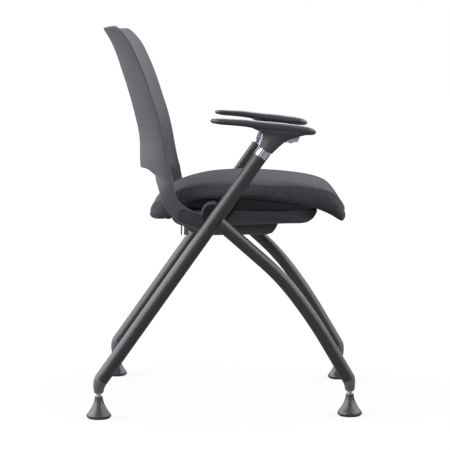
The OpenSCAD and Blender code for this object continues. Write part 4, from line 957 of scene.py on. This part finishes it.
# Place over cushion_l from the rear end against height over crown_h: the crown and the side seam
crown_rows = [
    (0, -0.17), (0.016, 0.013), (0.041, 0.208), (0.0957, 0.48), (0.187, 0.74), (0.296, 0.922),
    (0.462, 1), (0.574, 0.974), (0.692, 0.922), (0.779, 0.844), (0.854, 0.74), (0.913, 0.571),
    (0.948, 0.39), (0.97, 0.221), (0.986, 0.039), (1, -0.15)]
seam_rows = [
    (0, -0.13), (0.01, -0.08), (0.049, 0.18), (0.0957, 0.39), (0.169, 0.61), (0.244, 0.714),
    (0.321, 0.766), (0.412, 0.805), (0.522, 0.805), (0.656, 0.779), (0.79, 0.727), (0.877, 0.636),
    (0.945, 0.416), (0.968, 0.18), (0.989, -0.04), (1, -0.14)]


def seam_path(points=160):
    """Points of the closed seam, laid on the cushion."""
    skin = skin_of(cushion.data)
    path = []
    for a in round_turn(points):
        across, along = squared_oval(a, 1, seam_half_l * cushion_l, seam_power)
        y = overhang - cushion_l / 2 + along
        half = mix(cushion_rear_w, cushion_w, ease((widen_at - y) / (cushion_l / 6))) / 2
        s = (overhang - y) / cushion_l
        z = crown_h * min(smooth_at(s, crown_rows), smooth_at(s, seam_rows))
        path.append(skin.find_nearest(from_axis(half * across, y, z))[0])
    return path


def evenly(path, step_mm):
    """A closed path resampled at an even spacing."""
    points = np.array([tuple(p) for p in path] + [tuple(path[0])])
    run = np.r_[0, np.cumsum(np.linalg.norm(np.diff(points, axis=0), axis=1))]
    places = np.linspace(0, run[-1], int(run[-1] / (step_mm * MM)), endpoint=False)
    return np.stack([np.interp(places, run, points[:, k]) for k in range(3)], axis=1)


seam = evenly(seam_path(), seam_step_mm)
for _ in range(seam_rounds):
    seam = (np.roll(seam, 1, 0) + 2 * seam + np.roll(seam, -1, 0)) / 4

# %% [markdown]
# Near the seam the skin sinks in by a soft groove.

# %% Press the seam in
seam_depth_mm, seam_width_mm = 2.2, 4.5


def press_seam(piece, path):
    tree = KDTree(len(path))
    for k, point in enumerate(path):
        tree.insert(point, k)
    tree.balance()
    mesh = piece.data
    for vert, normal in [(v, v.normal.copy()) for v in mesh.vertices]:
        away = tree.find(vert.co)[2] / MM
        if away < 3 * seam_width_mm:
            vert.co -= normal * (seam_depth_mm * MM * math.exp(-(away / seam_width_mm) ** 2))
    mesh.update()


press_seam(cushion, seam)

# %% [markdown]
# A seam is held by a row of stitches. Geometry Nodes places them: the seam's path becomes a curve,
# the curve is cut into even steps, and a short rounded stitch is set along each step.

# %% Stitches along the seam
stitch_pitch_mm, stitch_mm, thread_r_mm, stitch_lift_mm = 4.5, 3.2, 0.45, 0.1
thread = grained("polyester_thread", "#4c4b50", "#545358", 0.7, 0.6, 0.01, 0.3)


def stitch_nodes():
    tree = bpy.data.node_groups.new("stitches", "GeometryNodeTree")
    tree.interface.new_socket("Geometry", in_out="INPUT", socket_type="NodeSocketGeometry")
    for title in ("Pitch", "Stitch length", "Thread radius"):
        tree.interface.new_socket(title, in_out="INPUT", socket_type="NodeSocketFloat")
    tree.interface.new_socket("Thread", in_out="INPUT", socket_type="NodeSocketMaterial")
    tree.interface.new_socket("Geometry", in_out="OUTPUT", socket_type="NodeSocketGeometry")
    given = add_node(tree, "NodeGroupInput")
    curve = add_node(tree, "GeometryNodeMeshToCurve", inputs={"Mesh": given.outputs["Geometry"]})
    steps = add_node(tree, "GeometryNodeResampleCurve", {"mode": "LENGTH"},
                     {"Curve": curve.outputs[0], "Length": given.outputs["Pitch"]})
    ball = add_node(tree, "GeometryNodeMeshUVSphere",
                    inputs={"Segments": 8, "Rings": 6, "Radius": 1.0})
    half = add_math(tree, "MULTIPLY", given.outputs["Stitch length"], 0.5)
    thick = given.outputs["Thread radius"]
    shape = add_node(tree, "ShaderNodeCombineXYZ", inputs={0: thick, 1: thick, 2: half})
    along = add_node(tree, "GeometryNodeInputTangent")
    turn = add_node(tree, "FunctionNodeAlignRotationToVector", {"axis": "Z"},
                    {"Vector": along.outputs[0]})
    row = add_node(tree, "GeometryNodeInstanceOnPoints", inputs={
        "Points": steps.outputs[0], "Instance": ball.outputs["Mesh"],
        "Rotation": turn.outputs[0], "Scale": shape.outputs[0]})
    real = add_node(tree, "GeometryNodeRealizeInstances", inputs={"Geometry": row.outputs[0]})
    dyed = add_node(tree, "GeometryNodeSetMaterial", inputs={
        "Geometry": real.outputs[0], "Material": given.outputs["Thread"]})
    add_node(tree, "NodeGroupOutput", inputs={"Geometry": dyed.outputs[0]})
    return tree


def stitched(path, lift_mm):
    """A row of stitches along a closed path, a little above the cushion's skin."""
    skin = skin_of(cushion.data)
    points = []
    for place in path:
        spot, normal = skin.find_nearest(Vector(place))[:2]
        points.append(spot + normal * lift_mm * MM)
    mesh = bpy.data.meshes.new("seam_path")
    mesh.from_pydata(points, [(k, (k + 1) % len(points)) for k in range(len(points))], [])
    piece = new_piece("seam_stitches", mesh, thread)
    row = piece.modifiers.new("stitches", "NODES")
    row.node_group = stitch_nodes()
    values = {"Pitch": stitch_pitch_mm * MM, "Stitch length": stitch_mm * MM,
              "Thread radius": thread_r_mm * MM, "Thread": thread}
    for item in row.node_group.interface.items_tree:
        if item.in_out == "INPUT" and item.name in values:
            row[item.identifier] = values[item.name]
    return apply_modifiers(piece)


stitches = stitched(seam, stitch_lift_mm)
dress(stitches, thread)
shade_smooth(stitches, sharp_deg=180)
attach(stitches, "seat")
print("stitch triangles:", triangles(stitches))

# %% [markdown]
# The cushion stands for its CAD node and rides on the seat's body.

# %% The cushion's place in the frame
shade_smooth(cushion, sharp_deg=180)
dress(cushion, seat_cloth)
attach(cushion, "seat")
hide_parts("seat_cushion")
print("cushion triangles:", triangles(cushion))

# %% [markdown]
# ## Studio
# The chair stands on a white floor that runs into a white sky. Near the chair the camera sees
# three parts in four of the floor at its own white and one part as lit paint, so that a soft
# shadow under the glides stays; further away the floor is plain white and meets the sky unseen.
# Mirrored in the chair, the floor is much darker, which keeps the tubes' lower sides dark.

# %% Floor and sky
floor_reach, floor_glow, mirrored_share, sky_light = 30, 1.06, 0.2, 0.13
near_white, near_m, far_m = 0.76, 0.4, 0.9


def seen_directly(tree):
    """The light path's outputs, and a value of 1 for what the camera sees, also through glass."""
    ray = add_node(tree, "ShaderNodeLightPath").outputs
    return ray, add_math(tree, "MAXIMUM", ray["Is Camera Ray"], ray["Is Transmission Ray"])


def flat_floor(reach):
    mesh = bpy.data.meshes.new("floor")
    corners = [(-reach, -reach, 0), (reach, -reach, 0), (reach, reach, 0), (-reach, reach, 0)]
    mesh.from_pydata(corners, [], [(0, 1, 2, 3)])
    return mesh


paint, tree, place = new_material("white_floor")
ray, seen = seen_directly(tree)
mirrored = add_math(tree, "MULTIPLY", ray["Is Glossy Ray"], mirrored_share)
seen = add_math(tree, "MAXIMUM", seen, mirrored)
away = add_node(tree, "ShaderNodeVectorMath", {"operation": "LENGTH"}, {0: place})
fade = add_range(tree, away.outputs["Value"], near_white, 1, near_m, far_m, "SMOOTHSTEP")
share = add_math(tree, "MULTIPLY", seen, fade)
matt = add_node(tree, "ShaderNodeBsdfDiffuse", inputs={
    "Color": add_mix(tree, ray["Is Camera Ray"], "#6c6c6c", "#c8c8c8")})
glow = add_node(tree, "ShaderNodeEmission",
                inputs={"Color": (1, 1, 1, 1), "Strength": floor_glow})
finish_material(tree, add_node(tree, "ShaderNodeMixShader", inputs={
    0: share, 1: matt.outputs[0], 2: glow.outputs[0]}))
floor = new_piece("floor", flat_floor(floor_reach), paint)

world = bpy.data.worlds.new("studio")
bpy.context.scene.world = world
world.use_nodes = True
tree = world.node_tree
tree.nodes.clear()
level = add_range(tree, seen_directly(tree)[1], sky_light, 1)
sky = add_node(tree, "ShaderNodeBackground", inputs={"Color": (1, 1, 1, 1), "Strength": level})
add_node(tree, "ShaderNodeOutputWorld", inputs={"Surface": sky.outputs[0]})

# %% [markdown]
# Two wide soft banks, behind the chair and in front of it, light the back and draw the highlight
# along each tube. Weak boxes above and at the camera's side fill in, and a wide lit wall on the
# far side gives grazing edges their pale line. The camera sees none of them.

# %% Lamps
lamp_tint = (0.972, 0.965, 1.0)
chair = (0, 0, 0.45)
# Name, place, aim, width and height in metres, and watts
boxes = [
    ("rear_bank", (-0.4, 2.9, 1.9), chair, 6.0, 3.0, 225),
    ("front_bank", (-0.2, -2.8, 2.2), chair, 5.4, 2.6, 128),
    ("top_box", (-0.7, -0.4, 2.8), chair, 1.6, 1.6, 10),
    ("camera_box", (-3.4, 0.2, 1.5), chair, 1.6, 1.6, 9),
    ("back_wall", (3.6, 0.0, 2.5), (0, 0, 1.6), 8.0, 3.6, 160)]
for name, place, aim, width, height, watts in boxes:
    lamp = bpy.data.lights.new(name, "AREA")
    lamp.shape, lamp.size, lamp.size_y, lamp.energy = "RECTANGLE", width, height, watts
    lamp.color = lamp_tint
    holder = add_object(name, lamp)
    holder.location = place
    holder.rotation_euler = (Vector(aim) - Vector(place)).to_track_quat("-Z", "Y").to_euler()
    holder.visible_camera = False
bpy.context.scene.view_settings.view_transform = "Standard"

# %% [markdown]
# ## Finish
# The view layer is brought up to date once more.

# %% Finish
bpy.context.view_layer.update()
